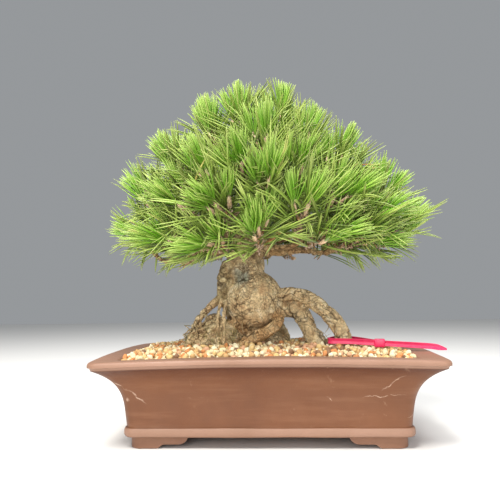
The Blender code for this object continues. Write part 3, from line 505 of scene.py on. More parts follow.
def pine_bark():
    """Bark and root skin: tan to orange-brown, dark in its cracks, partly its own dark fissures and partly
    painted shade, with painted shade in the crevice and the root hollow, grey lichen and old grey bark.
    """
    made, nodes, shader = new_material("pine_bark_and_roots", 0.85, Specular_IOR_Level=0.25)
    patches = nodes.noise(95.0, 6.0, 0.62, distort=0.5)
    tan = nodes.ramp(patches, (
        (0.26, (0.480, 0.290, 0.140)), (0.40, (0.740, 0.520, 0.280)), (0.54, (0.900, 0.700, 0.400)),
        (0.70, (0.980, 0.840, 0.580)),
    ))
    orange = nodes.ramp(patches, (
        (0.30, (0.380, 0.180, 0.070)), (0.48, (0.720, 0.420, 0.180)), (0.66, (0.920, 0.680, 0.380)),
    ))
    grey = nodes.ramp(patches, (
        (0.30, (0.130, 0.095, 0.045)), (0.50, (0.330, 0.255, 0.115)), (0.68, (0.580, 0.480, 0.270)),
    ))
    lichen = nodes.ramp(nodes.noise(210.0, 4.0), ((0.35, (0.25, 0.28, 0.20)), (0.65, (0.52, 0.56, 0.46))))
    base = nodes.mix(nodes.attribute("orange"), tan, orange)
    base = nodes.mix(nodes.attribute("old_bark"), base, grey)
    base = nodes.mix(nodes.attribute("lichen"), base, lichen)
    moss = nodes.ramp(nodes.noise(300.0, 3.0), ((0.35, (0.10, 0.12, 0.02)), (0.65, (0.30, 0.31, 0.07))))
    base = nodes.mix(nodes.attribute("moss"), base, moss)
    grit = nodes.span(nodes.cells(520.0), 0.08, 0.42, 0.86, 1.0)
    base = nodes.mix(nodes.math("SUBTRACT", 1.0, grit), base, (0.20, 0.115, 0.050))
    bent = warped(nodes, 75.0, 0.022)
    plates = nodes.cells(150.0, "DISTANCE_TO_EDGE", where=bent)
    flecks = nodes.cells(430.0, "DISTANCE_TO_EDGE", where=bent)
    open_here = nodes.span(nodes.noise(60.0, 3.0), 0.42, 0.58, 0.25, 1.0)
    seams = nodes.math("MULTIPLY", nodes.span(plates, 0.010, 0.085, 1.0, 0.0), open_here)
    seams = nodes.math("MAXIMUM", seams, nodes.span(flecks, 0.0, 0.08, 0.35, 0.0))
    base = nodes.mix(nodes.math("MULTIPLY", seams, 0.72), base, (0.130, 0.068, 0.028))
    # Darker in the cracks: partly the bark's own dark fissures, partly painted shade; in the crevice and the
    # root hollow it is painted shade.
    base = nodes.mix(nodes.attribute("crack_and_shade"), base, (0.050, 0.026, 0.011))
    nodes.link(base, shader.inputs["Base Color"])
    fine = nodes.noise(420.0, 6.0, 0.7)
    height = nodes.math("SUBTRACT", nodes.math("MULTIPLY", fine, 0.9), nodes.math("MULTIPLY", seams, 0.8))
    bump(nodes, shader, height, 0.0016, 1.0)
    return made


def needle_skin():
    """Waxy needles: pale at the base, green along the blade, yellower and paler towards the tip, with painted
    shade over the bases of the older ones.
    """
    made, nodes, shader = new_material("pine_needles", 0.42, Specular_IOR_Level=0.45)
    tint = nodes.attribute("tint")
    along = nodes.attribute("along")
    green = nodes.ramp(tint, (
        (0.00, (0.085, 0.130, 0.018)), (0.30, (0.180, 0.270, 0.040)), (0.55, (0.310, 0.430, 0.075)),
        (0.80, (0.165, 0.390, 0.022)), (0.92, (0.480, 0.560, 0.150)), (0.97, (0.50, 0.22, 0.06)),
    ))
    aged = nodes.span(tint, 0.62, 0.66, 1.0, 0.0)
    # Painted shade on the older needles, darkest at their bases inside the tuft.
    inner_shade = nodes.math("MULTIPLY", aged, nodes.span(along, 0.0, 0.55, 0.88, 0.0))
    fresh = nodes.math("MULTIPLY", nodes.math("SUBTRACT", 1.0, aged), nodes.span(along, 0.0, 0.25, 0.70, 0.0))
    base = nodes.mix(fresh, green, (0.36, 0.48, 0.17))
    base = nodes.mix(inner_shade, base, (0.040, 0.062, 0.008))
    base = nodes.mix(nodes.span(along, 0.60, 1.0, 0.0, 0.42), base, (0.60, 0.64, 0.22))
    sheath = nodes.ramp(nodes.noise(900.0, 3.0), ((0.35, (0.20, 0.105, 0.055)), (0.65, (0.62, 0.47, 0.33))))
    base = nodes.mix(nodes.span(along, -0.05, 0.0, 1.0, 0.0), base, sheath)
    nodes.link(base, shader.inputs["Base Color"])
    bump(nodes, shader, nodes.noise(1400.0, 2.0), 0.00005, 0.5)
    return made


def shoot_bark():
    """Young shoots and candles: orange-brown scales with pale papery edges."""
    made, nodes, shader = new_material("candles_and_twigs", 0.8)
    fresh = nodes.attribute("fresh")
    scales = nodes.cells(900.0, "F1")
    old = nodes.ramp(nodes.noise(350.0, 5.0), (
        (0.30, (0.200, 0.100, 0.040)), (0.50, (0.460, 0.250, 0.110)), (0.70, (0.680, 0.480, 0.280)),
    ))
    young = nodes.ramp(scales, ((0.1, (0.92, 0.82, 0.62)), (0.5, (0.78, 0.54, 0.34))))
    nodes.link(nodes.mix(fresh, old, young), shader.inputs["Base Color"])
    bump(nodes, shader, scales, 0.0006, 0.9)
    return made


def gravel_stone():
    """Mixed grit: cream, tan, orange-brown and pinkish grains, each of its own colour."""
    made, nodes, shader = new_material("mixed_gravel", 0.78)
    tint = nodes.attribute("tint")
    colour = nodes.ramp(tint, (
        (0.00, (0.68, 0.56, 0.34)), (0.24, (0.78, 0.70, 0.48)), (0.40, (0.62, 0.43, 0.18)),
        (0.56, (0.50, 0.30, 0.12)), (0.70, (0.52, 0.19, 0.055)), (0.83, (0.58, 0.31, 0.18)),
        (0.93, (0.17, 0.08, 0.04)),
    ))
    colour.node.color_ramp.interpolation = "CONSTANT"
    height, specks = grain(nodes, 900.0, 0.6)
    mottle = nodes.span(nodes.noise(380.0, 4.0), 0.3, 0.7, 0.0, 0.30)
    base = nodes.mix(mottle, colour, (0.45, 0.30, 0.15))
    base = nodes.mix(nodes.math("MULTIPLY", specks, 0.5), base, (0.30, 0.17, 0.08))
    nodes.link(base, shader.inputs["Base Color"])
    bump(nodes, shader, height, 0.00035, 0.8)
    return made


def grit_bed():
    """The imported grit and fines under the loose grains."""
    made, nodes, shader = new_material("packed_grit", 0.95)
    grain_scale = 210.0
    tone = nodes.ramp(nodes.cells(grain_scale, output="Color"), (
        (0.2, (0.11, 0.055, 0.025)), (0.5, (0.30, 0.17, 0.08)), (0.8, (0.48, 0.34, 0.19)),
    ))
    nodes.link(tone, shader.inputs["Base Color"])
    bump(nodes, shader, nodes.cells(grain_scale), 0.002, 1.0)
    return made


def damp_soil():
    made, nodes, shader = new_material("damp_soil", 0.95)
    height, specks = grain(nodes, 500.0, 0.8)
    tone = nodes.ramp(nodes.noise(160.0, 5.0), ((0.3, (0.022, 0.012, 0.006)), (0.7, (0.115, 0.062, 0.030))))
    nodes.link(nodes.mix(specks, tone, (0.30, 0.22, 0.13)), shader.inputs["Base Color"])
    bump(nodes, shader, height, 0.0012, 1.0)
    return made


def label_plastic():
    """Bright pink moulded strip, satin, with faint handling marks."""
    made, nodes, shader = new_material("pink_label_plastic", Specular_IOR_Level=0.5)
    marks = nodes.noise(240.0, 4.0, 0.7, distort=1.0)
    base = nodes.mix(nodes.span(marks, 0.45, 0.75, 0.0, 0.35), (0.70, 0.022, 0.105), (0.80, 0.085, 0.20))
    nodes.link(base, shader.inputs["Base Color"])
    nodes.link(nodes.span(marks, 0.3, 0.7, 0.30, 0.46), shader.inputs["Roughness"])
    bump(nodes, shader, nodes.noise(900.0, 2.0), 0.00006, 0.5)
    return made


def mesh_plastic():
    made, nodes, shader = new_material("drain_mesh_plastic", 0.5)
    tone = nodes.ramp(nodes.noise(180.0, 4.0), ((0.3, (0.018, 0.022, 0.020)), (0.7, (0.060, 0.055, 0.045))))
    nodes.link(tone, shader.inputs["Base Color"])
    bump(nodes, shader, nodes.noise(1500.0, 2.0), 0.0001, 0.5)
    return made


def clip_metal():
    made, nodes, shader = new_material("drawn_aluminium_wire", 0.35, Metallic=1.0)
    tone = nodes.ramp(nodes.noise(500.0, 5.0), ((0.3, (0.46, 0.46, 0.45)), (0.7, (0.76, 0.76, 0.75))))
    nodes.link(tone, shader.inputs["Base Color"])
    nodes.link(nodes.span(nodes.noise(700.0, 3.0), 0.3, 0.7, 0.28, 0.5), shader.inputs["Roughness"])
    bump(nodes, shader, nodes.noise(1200.0, 2.0), 0.00005, 0.5)
    return made


# ---------------------------------------------------------------- the pot
CORNER_STEPS = 10
SIDE_STEPS = (40, 28)
BAND_STEPS = 12
FLARE_STEPS = 26
RIM_ZONE = 0.031  # what lies this near the rim, seen from above, is the lip or the wall under it
UNDER_LIP_SHADE_REACH = 0.016  # how far down from the lip the painted shade under it reaches


def rounded_ring(half_x, half_y, radius, z, droop=0.0):
    """A level rounded rectangle; droop lowers it towards its corners along a parabola."""
    ring = []
    for corner, (sx, sy) in enumerate(((1, 1), (-1, 1), (-1, -1), (1, -1))):
        cx, cy = sx * (half_x - radius), sy * (half_y - radius)
        for i in range(CORNER_STEPS + 1):
            turn = math.radians(90 * corner + 90 * i / CORNER_STEPS)
            ring.append((cx + radius * math.cos(turn), cy + radius * math.sin(turn)))
        last = ring[-1]
        flip_x, flip_y = (-1, 1) if corner % 2 == 0 else (1, -1)
        along = SIDE_STEPS[corner % 2]
        for i in range(1, along + 1):
            share = i / (along + 1)
            ring.append((last[0] * (1 - share + flip_x * share), last[1] * (1 - share + flip_y * share)))
    return [Vector((x, y, z - droop * (x / half_x * y / half_y) ** 2)) for x, y in ring]


def round_edge(inset_from, z_from, inset_to, z_to, steps=4):
    """A quarter turn between two points of the lip's profile, as (inset, z) pairs."""
    for i in range(steps + 1):
        turn = math.radians(90 * i / steps)
        yield (
            inset_from + (inset_to - inset_from) * (1 - math.cos(turn)),
            z_from + (z_to - z_from) * math.sin(turn),
        )


def pot_rings():
    """The pot's skin as level rings: up the inside of the foot, round its outside, over the lip and in."""
    base_x, base_y = RIM_X - LIP_OVERHANG, RIM_Y - LIP_OVERHANG
    wall_x, wall_y = base_x - BAND_BULGE, base_y - BAND_BULGE
    foot_x, foot_y = base_x - FOOT_INSET, base_y - FOOT_INSET
    lip_under = POT_HEIGHT - LIP_EDGE
    foot = (
        (FOOT_WIDTH, FOOT_HEIGHT), (FOOT_WIDTH, 0.0005), (FOOT_WIDTH - 0.0008, 0.0),
        (0.0012, 0.0), (0.0003, 0.0004), (0.0, 0.0014), (0.0, FOOT_HEIGHT),
    )
    rings = []
    for inset, z in foot:
        corner = INNER_CORNER if inset > FOOT_WIDTH / 2 else OUTER_CORNER
        rings.append(rounded_ring(foot_x - inset, foot_y - inset, corner, z))
    for i in range(BAND_STEPS + 1):
        turn = math.radians(-90 + 180 * i / BAND_STEPS)
        bulge = BAND_BULGE * max(math.cos(turn), 0.0) ** 0.7
        z = FOOT_HEIGHT + BAND_HEIGHT / 2 * (1 + math.sin(turn))
        rings.append(rounded_ring(wall_x + bulge, wall_y + bulge, OUTER_CORNER, z))
    band_top = FOOT_HEIGHT + BAND_HEIGHT
    for i in range(1, FLARE_STEPS + 1):
        share = 1 - (1 - i / FLARE_STEPS) ** 1.35
        run = LEAN_SHARE * share + (1 - LEAN_SHARE) * share ** FLARE_POWER
        out = (RIM_X - wall_x - LIP_UNDERCUT) * run
        z = band_top + (lip_under - band_top) * share
        rings.append(rounded_ring(wall_x + out, wall_y + out, OUTER_CORNER, z, LIP_DROOP * share ** 2))
    profile = list(round_edge(LIP_UNDERCUT, lip_under, 0.0, lip_under + LIP_UNDER_ROUND))[1:]
    profile += round_edge(0.0, POT_HEIGHT - LIP_ROUND, LIP_ROUND, POT_HEIGHT)
    for share in (0.25, 0.5, 0.75):
        profile.append((LIP_ROUND + (LIP_WIDTH - 2 * LIP_ROUND) * share, POT_HEIGHT))
    inner_edge = round_edge(LIP_WIDTH, POT_HEIGHT - LIP_ROUND, LIP_WIDTH - LIP_ROUND, POT_HEIGHT)
    profile += reversed(list(inner_edge))
    for inset, z in profile:
        radius = OUTER_CORNER + (INNER_CORNER - OUTER_CORNER) * inset / LIP_WIDTH
        rings.append(rounded_ring(RIM_X - inset, RIM_Y - inset, radius, z, LIP_DROOP))
    floor_top = FOOT_HEIGHT + FLOOR
    cavity_x, cavity_y = wall_x - WALL, wall_y - WALL
    open_x, open_y = RIM_X - LIP_WIDTH, RIM_Y - LIP_WIDTH
    for share in (0.06, 0.15, 0.5, 1.0):
        rings.append(rounded_ring(
            open_x + (cavity_x - open_x) * share, open_y + (cavity_y - open_y) * share, INNER_CORNER,
            POT_HEIGHT - LIP_ROUND + (floor_top - POT_HEIGHT + LIP_ROUND) * share, LIP_DROOP * (1 - share),
        ))
    return rings


def arch_outline(foot_end):
    """The space between two feet: a soft step, a ledge and a curve up to the floor."""
    half = [(foot_end - FOOT_SOLE, -FOOT_HEIGHT)]
    for i in range(9):
        share = i / 8
        half.append((
            foot_end - FOOT_SOLE - FOOT_STEP_RUN * share, FOOT_STEP * (1 - math.cos(math.pi * share)) / 2,
        ))
    rise = FOOT_HEIGHT + 0.0001 - FOOT_STEP
    for i in range(11):
        turn = math.radians(90 * i / 10)
        half.append((
            foot_end - FOOT_LEDGE - (FOOT_LENGTH - FOOT_LEDGE) * math.sin(turn),
            FOOT_STEP + rise * (1 - math.cos(turn)),
        ))
    return half + [(-x, z) for x, z in reversed(half)]


def arch_cutter(name, outline, reach, turn):
    shape = bmesh.new()
    near = [shape.verts.new((x, -reach, z)) for x, z in outline]
    far = [shape.verts.new((x, reach, z)) for x, z in outline]
    shape.faces.new(near)
    shape.faces.new(far[::-1])
    for i in range(len(near)):
        k = (i + 1) % len(near)
        shape.faces.new((near[i], far[i], far[k], near[k]))
    bmesh.ops.rotate(shape, verts=shape.verts, matrix=Matrix.Rotation(turn, 3, "Z"))
    bmesh.ops.triangulate(shape, faces=shape.faces[:])
    return link_object(name, mesh_from_bmesh(name, shape))


def hole_cutter(x):
    shape = bmesh.new()
    bmesh.ops.create_cone(
        shape, cap_ends=True, segments=40, radius1=DRAIN_RADIUS, radius2=DRAIN_RADIUS,
        depth=4 * FLOOR, matrix=Matrix.Translation((x, 0.0, FOOT_HEIGHT + FLOOR / 2)),
    )
    return link_object("drain_hole", mesh_from_bmesh("drain_hole", shape))


def make_pot():
    shape = bmesh.new()
    rows = [[shape.verts.new(point) for point in ring] for ring in pot_rings()]
    join_rings(shape, rows)
    shape.faces.new(rows[0])
    shape.faces.new(rows[-1])
    pot = link_object("stoneware_pot", mesh_from_bmesh("stoneware_pot", shape))
    base_x, base_y = RIM_X - LIP_OVERHANG, RIM_Y - LIP_OVERHANG
    cutters = [
        arch_cutter("front_arch", arch_outline(base_x - FOOT_INSET), base_y, 0.0),
        arch_cutter("side_arch", arch_outline(base_y - FOOT_INSET), base_x, math.radians(90)),
        hole_cutter(-DRAIN_SPACING / 2),
        hole_cutter(DRAIN_SPACING / 2),
    ]
    for cutter in cutters:
        step = pot.modifiers.new("cut", "BOOLEAN")
        step.operation = "DIFFERENCE"
        step.object = cutter
        step.solver = "EXACT"
    soften = pot.modifiers.new("softened", "BEVEL")
    soften.width = 0.0006
    soften.segments = 2
    soften.limit_method = "ANGLE"
    soften.angle_limit = math.radians(50)
    flatten(pot)
    for cutter in cutters:
        remove_object(cutter)
    weather_pot(pot)
    pot.data.materials.clear()
    pot.data.materials.append(stoneware())
    pot.data.shade_smooth()
    pot.data.set_sharp_from_angle(angle=math.radians(42))
    return finish_piece(pot, "stoneware", "pot")


def weather_pot(pot):
    """Gives the clay its slight waviness, and marks where it is paler and where shade is painted under the
    lip.
    """
    shape = bmesh.new()
    shape.from_mesh(pot.data)
    paler_lip_band_feet = shape.verts.layers.float.new("paler_lip_band_feet")
    under_lip_shade = shape.verts.layers.float.new("under_lip_shade")
    shape.normal_update()
    band_top = FOOT_HEIGHT + BAND_HEIGHT
    for spot in shape.verts:
        here = spot.co.copy()
        wave = noise.noise(here * 22.0) * 0.00035 + noise.noise(here * 70.0) * 0.00012
        if here.z > 0.002:
            spot.co = here + spot.normal * wave
        droop = LIP_DROOP * (here.x / RIM_X * here.y / RIM_Y) ** 2
        under_lip = POT_HEIGHT - LIP_EDGE - droop - here.z
        outside = abs(here.x) > RIM_X - RIM_ZONE or abs(here.y) > RIM_Y - RIM_ZONE
        # Painted shade under the lip: strongest just below it, fading down the outer wall.
        spot[under_lip_shade] = max(0.0, 1.0 - max(under_lip, 0.0) / UNDER_LIP_SHADE_REACH) ** 1.5 if outside else 0.0
        spot[paler_lip_band_feet] = 0.0
        # Paler on the lip, more on its outer face than its top; on the band, little on its underside; a
        # little on the feet.
        if under_lip < -0.0005 and outside:
            spot[paler_lip_band_feet] = 0.85 if spot.normal.z < 0.5 else 0.7
        elif FOOT_HEIGHT + 0.001 < here.z < band_top - 0.0002:
            spot[paler_lip_band_feet] = 1.0 if spot.normal.z > -0.6 else 0.3
        elif here.z <= FOOT_HEIGHT + 0.001:
            spot[paler_lip_band_feet] = 0.45
    shape.to_mesh(pot.data)
    shape.free()


# ---------------------------------------------------------------- the wood
CRACK_DEPTH = 0.0015
FINE_CRACK_DEPTH = 0.00040


def bark_relief(here, stout):
    """How far the bark stands out at a place, and how far down in its cracks it lies (0 to 1), which also
    sets how dark it is painted there: partly its own dark fissures, partly painted shade.
    """
    lumps = 0.0010 * noise.noise(here * 62.0) + 0.0006 * noise.noise(here * 150.0)
    warp = Vector([noise.noise(here * 90.0 + Vector(shift)) for shift in ((0, 0, 0), (9, 2, 5), (3, 7, 1))])
    near, _ = noise.voronoi(here * 105.0 + warp * 0.9)
    edge = near[1] - near[0]
    crack_and_shade = max(0.0, 1.0 - edge / 0.16)
    near_fine, _ = noise.voronoi(here * 260.0 + warp * 1.3)
    fine = max(0.0, 1.0 - (near_fine[1] - near_fine[0]) / 0.22)
    gate = 0.5 + 0.5 * noise.noise(here * 48.0 + Vector((4, 4, 4)))
    crack_and_shade *= min(1.0, max(0.0, gate * 2.2 - 0.45))
    out = stout * (lumps - CRACK_DEPTH * crack_and_shade - FINE_CRACK_DEPTH * fine)
    return out, max(crack_and_shade, 0.35 * fine)


def fade(value, reach, edge):
    """1 up to a value of reach less edge, falling evenly to 0 at the reach."""
    return max(0.0, min(1.0, (reach - value) / edge))


def near_line(here, points):
    """The least distance from a place to a line of points."""
    best = 1.0
    for a, b in zip(points, points[1:]):
        a, b = Vector(a), Vector(b)
        share = max(0.0, min(1.0, (here - a).dot(b - a) / (b - a).length_squared))
        best = min(best, (here - a.lerp(b, share)).length)
    return best


WOOD_VOXEL = 0.0010
BARK_MARKS = ("crack_and_shade", "orange", "old_bark", "lichen", "moss")
OLD_STRAND = (
    (-0.0360, -0.012, 0.176), (-0.0425, -0.014, 0.162), (-0.0465, -0.013, 0.148), (-0.0445, -0.014, 0.123),
)
UNDER_STRAND = (
    (0.013, -0.014, 0.113), (0.009, -0.021, 0.104), (-0.003, -0.026, 0.097), (-0.026, -0.027, 0.084),
)
CREVICE = (
    (-0.0461, -0.030, 0.1306), (-0.0378, -0.031, 0.1476),
    (-0.0175, -0.031, 0.1554), (-0.0063, -0.028, 0.1614),
)
CREVICE_REACH = 0.0020
ROOT_HOLLOW, HOLLOW_REACH, HOLLOW_DEPTH = Vector((-0.0330, -0.027, 0.1010)), 0.0065, 0.0040
LICHEN_AT = Vector((-0.0276, -0.027, 0.1576))
ROOT_KNOB, ROOT_KNOB_HALF = (-0.0555, -0.007, 0.1020), (0.0125, 0.008, 0.0155)


def make_wood():
    """The tree's bark and roots, finely surfaced from the CAD's wood."""
    shape = bmesh.new()
    for node in WOOD_NODES:
        shape.from_mesh(frame["nodes"][node].data)
    bmesh.ops.remove_doubles(shape, verts=shape.verts, dist=0.00001)
    add_tube(shape, TRUNK_HEART, 24)
    place = Matrix.Translation(ROOT_KNOB) @ Matrix.Diagonal((*ROOT_KNOB_HALF, 1.0))
    bmesh.ops.create_icosphere(shape, subdivisions=3, radius=1.0, matrix=place)
    wood = link_object("bark_and_roots", mesh_from_bmesh("bark_and_roots", shape))
    fine = wood.modifiers.new("fine", "REMESH")
    fine.mode = "VOXEL"
    fine.voxel_size = WOOD_VOXEL
    smooth = wood.modifiers.new("rounded", "SMOOTH")
    smooth.factor = 0.5
    smooth.iterations = 5
    flatten(wood)
    carve_bark(wood)
    wood.data.materials.clear()
    wood.data.materials.append(pine_bark())
    wood.data.shade_smooth()
    return finish_piece(wood, "pine_wood", *WOOD_NODES)


def carve_bark(wood):
    """Raises the bark's relief, cuts its cracks, and marks its orange, grey, mossy and lichened places, and
    the darkening of its cracks, partly painted shade, with painted shade in the crevice and the root hollow.
    """
    shape = bmesh.new()
    shape.from_mesh(wood.data)
    layers = {key: shape.verts.layers.float.new(key) for key in BARK_MARKS}
    shape.normal_update()
    moves = []
    for spot in shape.verts:
        here = spot.co.copy()
        stout = 1.0 if here.z < 0.178 else 0.40
        if here.z > 0.19 and (here - Vector((-0.018, 0.0, here.z))).length < 0.022:
            stout = 0.8
        out, crack_and_shade = bark_relief(here, stout)
        from_globe = (here - GLOBE_AT).length
        old = fade(near_line(here, OLD_STRAND), 0.0095, 0.003)
        neck = fade(-here.z, -0.160, 0.008) if here.z < 0.20 else 0.0
        under = fade(near_line(here, UNDER_STRAND), 0.011, 0.004)
        low_globe = fade(here.z, 0.116, 0.014) if from_globe < GLOBE_RADIUS + 0.006 else 0.0
        branch = 1.0 if here.z > 0.176 and abs(here.x + 0.02) > 0.021 else 0.0
        rim = near_line(here, CREVICE) if here.y < -0.008 else 1.0
        # The crevice is sunk and painted dark as shade.
        if rim < CREVICE_REACH:
            out -= CREVICE_REACH * (1.0 - rim / CREVICE_REACH)
            crack_and_shade = max(crack_and_shade, 1.0 - rim / CREVICE_REACH)
        hollow = (here - ROOT_HOLLOW).length
        # The root hollow is sunk and painted darkest, as shade.
        if hollow < HOLLOW_REACH:
            out -= HOLLOW_DEPTH * (1.0 - hollow / HOLLOW_REACH)
            crack_and_shade = max(crack_and_shade, 1.2 - hollow / HOLLOW_REACH)
        patch = noise.noise(here * 55.0 + Vector((1, 8, 3)))
        spot[layers["crack_and_shade"]] = min(1.0, crack_and_shade * 0.95)
        ruddy = max(0.85 * under, 0.75 * low_globe, 0.80 * branch)
        spot[layers["orange"]] = min(1.0, ruddy + 0.25 * max(0.0, patch))
        spot[layers["old_bark"]] = min(1.0, max(0.75 * old, 0.45 * neck, 0.15 * branch * (patch > 0.1)))
        covered = min(0.80, fade((here - LICHEN_AT).length, 0.0145, 0.006))
        spot[layers["lichen"]] = covered * (0.5 + 0.5 * (patch > -0.2))
        mossy = fade(here.z, 0.104, 0.014) if here.x < -0.030 and noise.noise(here * 160.0) > 0.18 else 0.0
        spot[layers["moss"]] = 0.6 * mossy
        moves.append((spot, spot.normal * out))
    for spot, move in moves:
        spot.co += move
    shape.to_mesh(wood.data)
    shape.free()


# ---------------------------------------------------------------- needles
def needle_blade(shape, along, bend, spin, tilt):
    """One needle of a pair: half round, gently bent, tapering only near its tip."""
    half = NEEDLE_WIDTH / 2
    turn = Quaternion((0.0, 0.0, 1.0), spin) @ Quaternion((1.0, 0.0, 0.0), tilt)
    rings = []
    for i in range(NEEDLE_ROWS):
        share = i / (NEEDLE_ROWS - 1)
        out = NEEDLE_LENGTH * (1 - math.cos(bend * share)) / bend
        up = NEEDLE_LENGTH * math.sin(bend * share) / bend
        width = half * (0.75 + 0.25 * min(1.0, share * 4))
        width *= 1.0 if share < 0.75 else 1.0 - 0.72 * (share - 0.75) / 0.25
        ring = []
        for x, y in ((-1.0, -0.25), (1.0, -0.25), (0.0, 0.75)):
            flat = Vector((x * width, y * width, 0.0))
            flat.rotate(Quaternion((0.0, 0.0, 1.0), spin))
            lean = turn @ Vector((0.0, 0.0, up))
            spot = shape.verts.new(Vector((out, 0.0, 0.0)) + lean + flat)
            spot[along] = share
            ring.append(spot)
        rings.append(ring)
    join_rings(shape, rings)
    last_step = rings[-1][0].co - rings[-2][0].co
    tip = shape.verts.new(sum((spot.co for spot in rings[-1]), Vector()) / 3 + last_step * 0.18)
    tip[along] = 1.0
    for i in range(3):
        shape.faces.new((rings[-1][i], rings[-1][(i + 1) % 3], tip))
    shape.faces.new(rings[0][::-1])


def needle_pair(name, bend):
    """A pair of needles in their sheath, along +Z, bending towards +X."""
    shape = bmesh.new()
    along = shape.verts.layers.float.new("along")
    for side in (-1, 1):
        needle_blade(shape, along, bend * (1.0 + 0.12 * side), side * math.pi / 2, -PAIR_OPENING / 2)
    sheath = [(0.0, 0.0, z, r) for z, r in ((-0.001, 0.0007), (0.002, 0.00105), (0.0055, 0.0008))]
    add_tube(shape, sheath, 5, along, (-1.0, -0.8, -0.3))
    return smooth_object(name, shape)


THICKNESS = 1.0  # of the scattered needles and grains, as a share of their own


def scatter_tree(name):
    """Puts one of a collection's shapes on every point, turned and stretched by the point's attributes."""
    tree, nodes, entry, leave = new_tree(name, "GeometryNodeTree", (
        ("Geometry", "NodeSocketGeometry", "INPUT"),
        ("Thickness", "NodeSocketFloat", "INPUT"),
        ("Shapes", "NodeSocketCollection", "INPUT"),
        ("Finish", "NodeSocketMaterial", "INPUT"),
        ("Geometry", "NodeSocketGeometry", "OUTPUT"),
    ))
    points = nodes.add("GeometryNodeMeshToPoints")
    nodes.link(entry.outputs["Geometry"], points.inputs["Mesh"])
    kinds = nodes.add("GeometryNodeCollectionInfo")
    kinds.inputs["Separate Children"].default_value = True
    kinds.inputs["Reset Children"].default_value = True
    nodes.link(entry.outputs["Shapes"], kinds.inputs["Collection"])
    place = nodes.add("GeometryNodeInstanceOnPoints")
    place.inputs["Pick Instance"].default_value = True
    nodes.link(points.outputs["Points"], place.inputs["Points"])
    nodes.link(kinds.outputs["Instances"], place.inputs["Instance"])

    def named(key, kind):
        node = nodes.add("GeometryNodeInputNamedAttribute", data_type=kind)
        node.inputs["Name"].default_value = key
        return node.outputs["Attribute"]

    nodes.link(named("kind", "INT"), place.inputs["Instance Index"])
    turned = nodes.add("FunctionNodeEulerToRotation")
    nodes.link(named("turn", "FLOAT_VECTOR"), turned.inputs["Euler"])
    nodes.link(turned.outputs["Rotation"], place.inputs["Rotation"])
    sized = nodes.add("ShaderNodeVectorMath", operation="MULTIPLY")
    thick = nodes.add("ShaderNodeCombineXYZ")
    for axis in ("X", "Y"):
        nodes.link(entry.outputs["Thickness"], thick.inputs[axis])
    thick.inputs["Z"].default_value = 1.0
    nodes.link(named("stretch", "FLOAT_VECTOR"), sized.inputs[0])
    nodes.link(thick.outputs["Vector"], sized.inputs[1])
    nodes.link(sized.outputs["Vector"], place.inputs["Scale"])
    real = nodes.add("GeometryNodeRealizeInstances")
    nodes.link(place.outputs["Instances"], real.inputs["Geometry"])
    paint = nodes.add("GeometryNodeSetMaterial")
    nodes.link(real.outputs["Geometry"], paint.inputs["Geometry"])
    nodes.link(entry.outputs["Finish"], paint.inputs["Material"])
    nodes.link(paint.outputs["Geometry"], leave.inputs["Geometry"])
    return tree


def scatter(name, tree, holder, finish, spots):
    """A plain mesh of shapes at the spots: (place, turn matrix, stretch, kind, tint) each."""
    mesh = bpy.data.meshes.new(name)
    mesh.from_pydata([tuple(spot[0]) for spot in spots], [], [])
    for key, kind, field, values in (
        ("turn", "FLOAT_VECTOR", "vector", [tuple(spot[1].to_euler("XYZ")) for spot in spots]),
        ("stretch", "FLOAT_VECTOR", "vector", [spot[2] for spot in spots]),
        ("kind", "INT", "value", [spot[3] for spot in spots]),
        ("tint", "FLOAT", "value", [spot[4] for spot in spots]),
    ):
        width = np.int32 if kind == "INT" else np.float32
        mesh.attributes.new(key, kind, "POINT").data.foreach_set(field, np.array(values, width).ravel())
    made = link_object(name, mesh)
    step = made.modifiers.new("scatter", "NODES")
    step.node_group = tree
    sockets = {item.name: item.identifier for item in tree.interface.items_tree if item.in_out == "INPUT"}
    step[sockets["Thickness"]] = THICKNESS
    step[sockets["Shapes"]] = holder
    step[sockets["Finish"]] = finish
    flatten(made)
    made.data.shade_smooth()
    return made


def hold_shapes(name, shapes):
    """A hidden collection of the shapes to scatter, in the order of their names."""
    holder = bpy.data.collections.new(name)
    for shape in shapes:
        for user in list(shape.users_collection):
            user.objects.unlink(shape)
        holder.objects.link(shape)
    return holder


def drop_shapes(holder):
    for shape in list(holder.objects):
        remove_object(shape)
    bpy.data.collections.remove(holder)


NEEDLE_BENDS = (0.03, 0.11, 0.22, 0.36, 0.55, 0.80)
YOUNG_LENGTH, OLD_LENGTH = (0.033, 0.040), (0.048, 0.071)
CANDLE_LENGTH, SIDE_CANDLE_LENGTH = 0.021, 0.012
# Pairs on a shoot: its young ones, its old ones, and the old ones on the crown's lowest tufts.
SHOOT_PAIRS, SIDE_SHOOT_PAIRS = (16, 26, 19), (10, 11, 8)
LOW_TUFT = 0.208  # a tuft whose middle is lower than this is one of the lowest
TWIG_NEAR = 0.013  # a tuft's twig ends this near its line


def in_crown(place, slack):
    """Whether a place is inside the crown's outline, widened or narrowed by a share."""
    low = SIDE_LOW if place.x < -0.072 or place.x > 0.088 else MIDDLE_LOW
    if 0.004 < place.x < 0.090:
        low = GAP_LOW_FRONT if place.y < 0.0 else GAP_LOW_BACK
    low = EYE_HEIGHT + (low - EYE_HEIGHT) * (place.y + EYE_DISTANCE) / EYE_DISTANCE
    spare = (slack - 1.0) * 0.10
    if not low - spare < place.z < CROWN_TOP + spare:
        return False
    heights, lefts, rights = zip(*CROWN)
    left = float(np.interp(place.z, heights, lefts))
    right = float(np.interp(place.z, heights, rights))
    half = (right - left) / 2
    across = (place.x - (left + right) / 2) / half
    return across ** 2 + (place.y / (CROWN_DEPTH * half)) ** 2 < slack ** 2


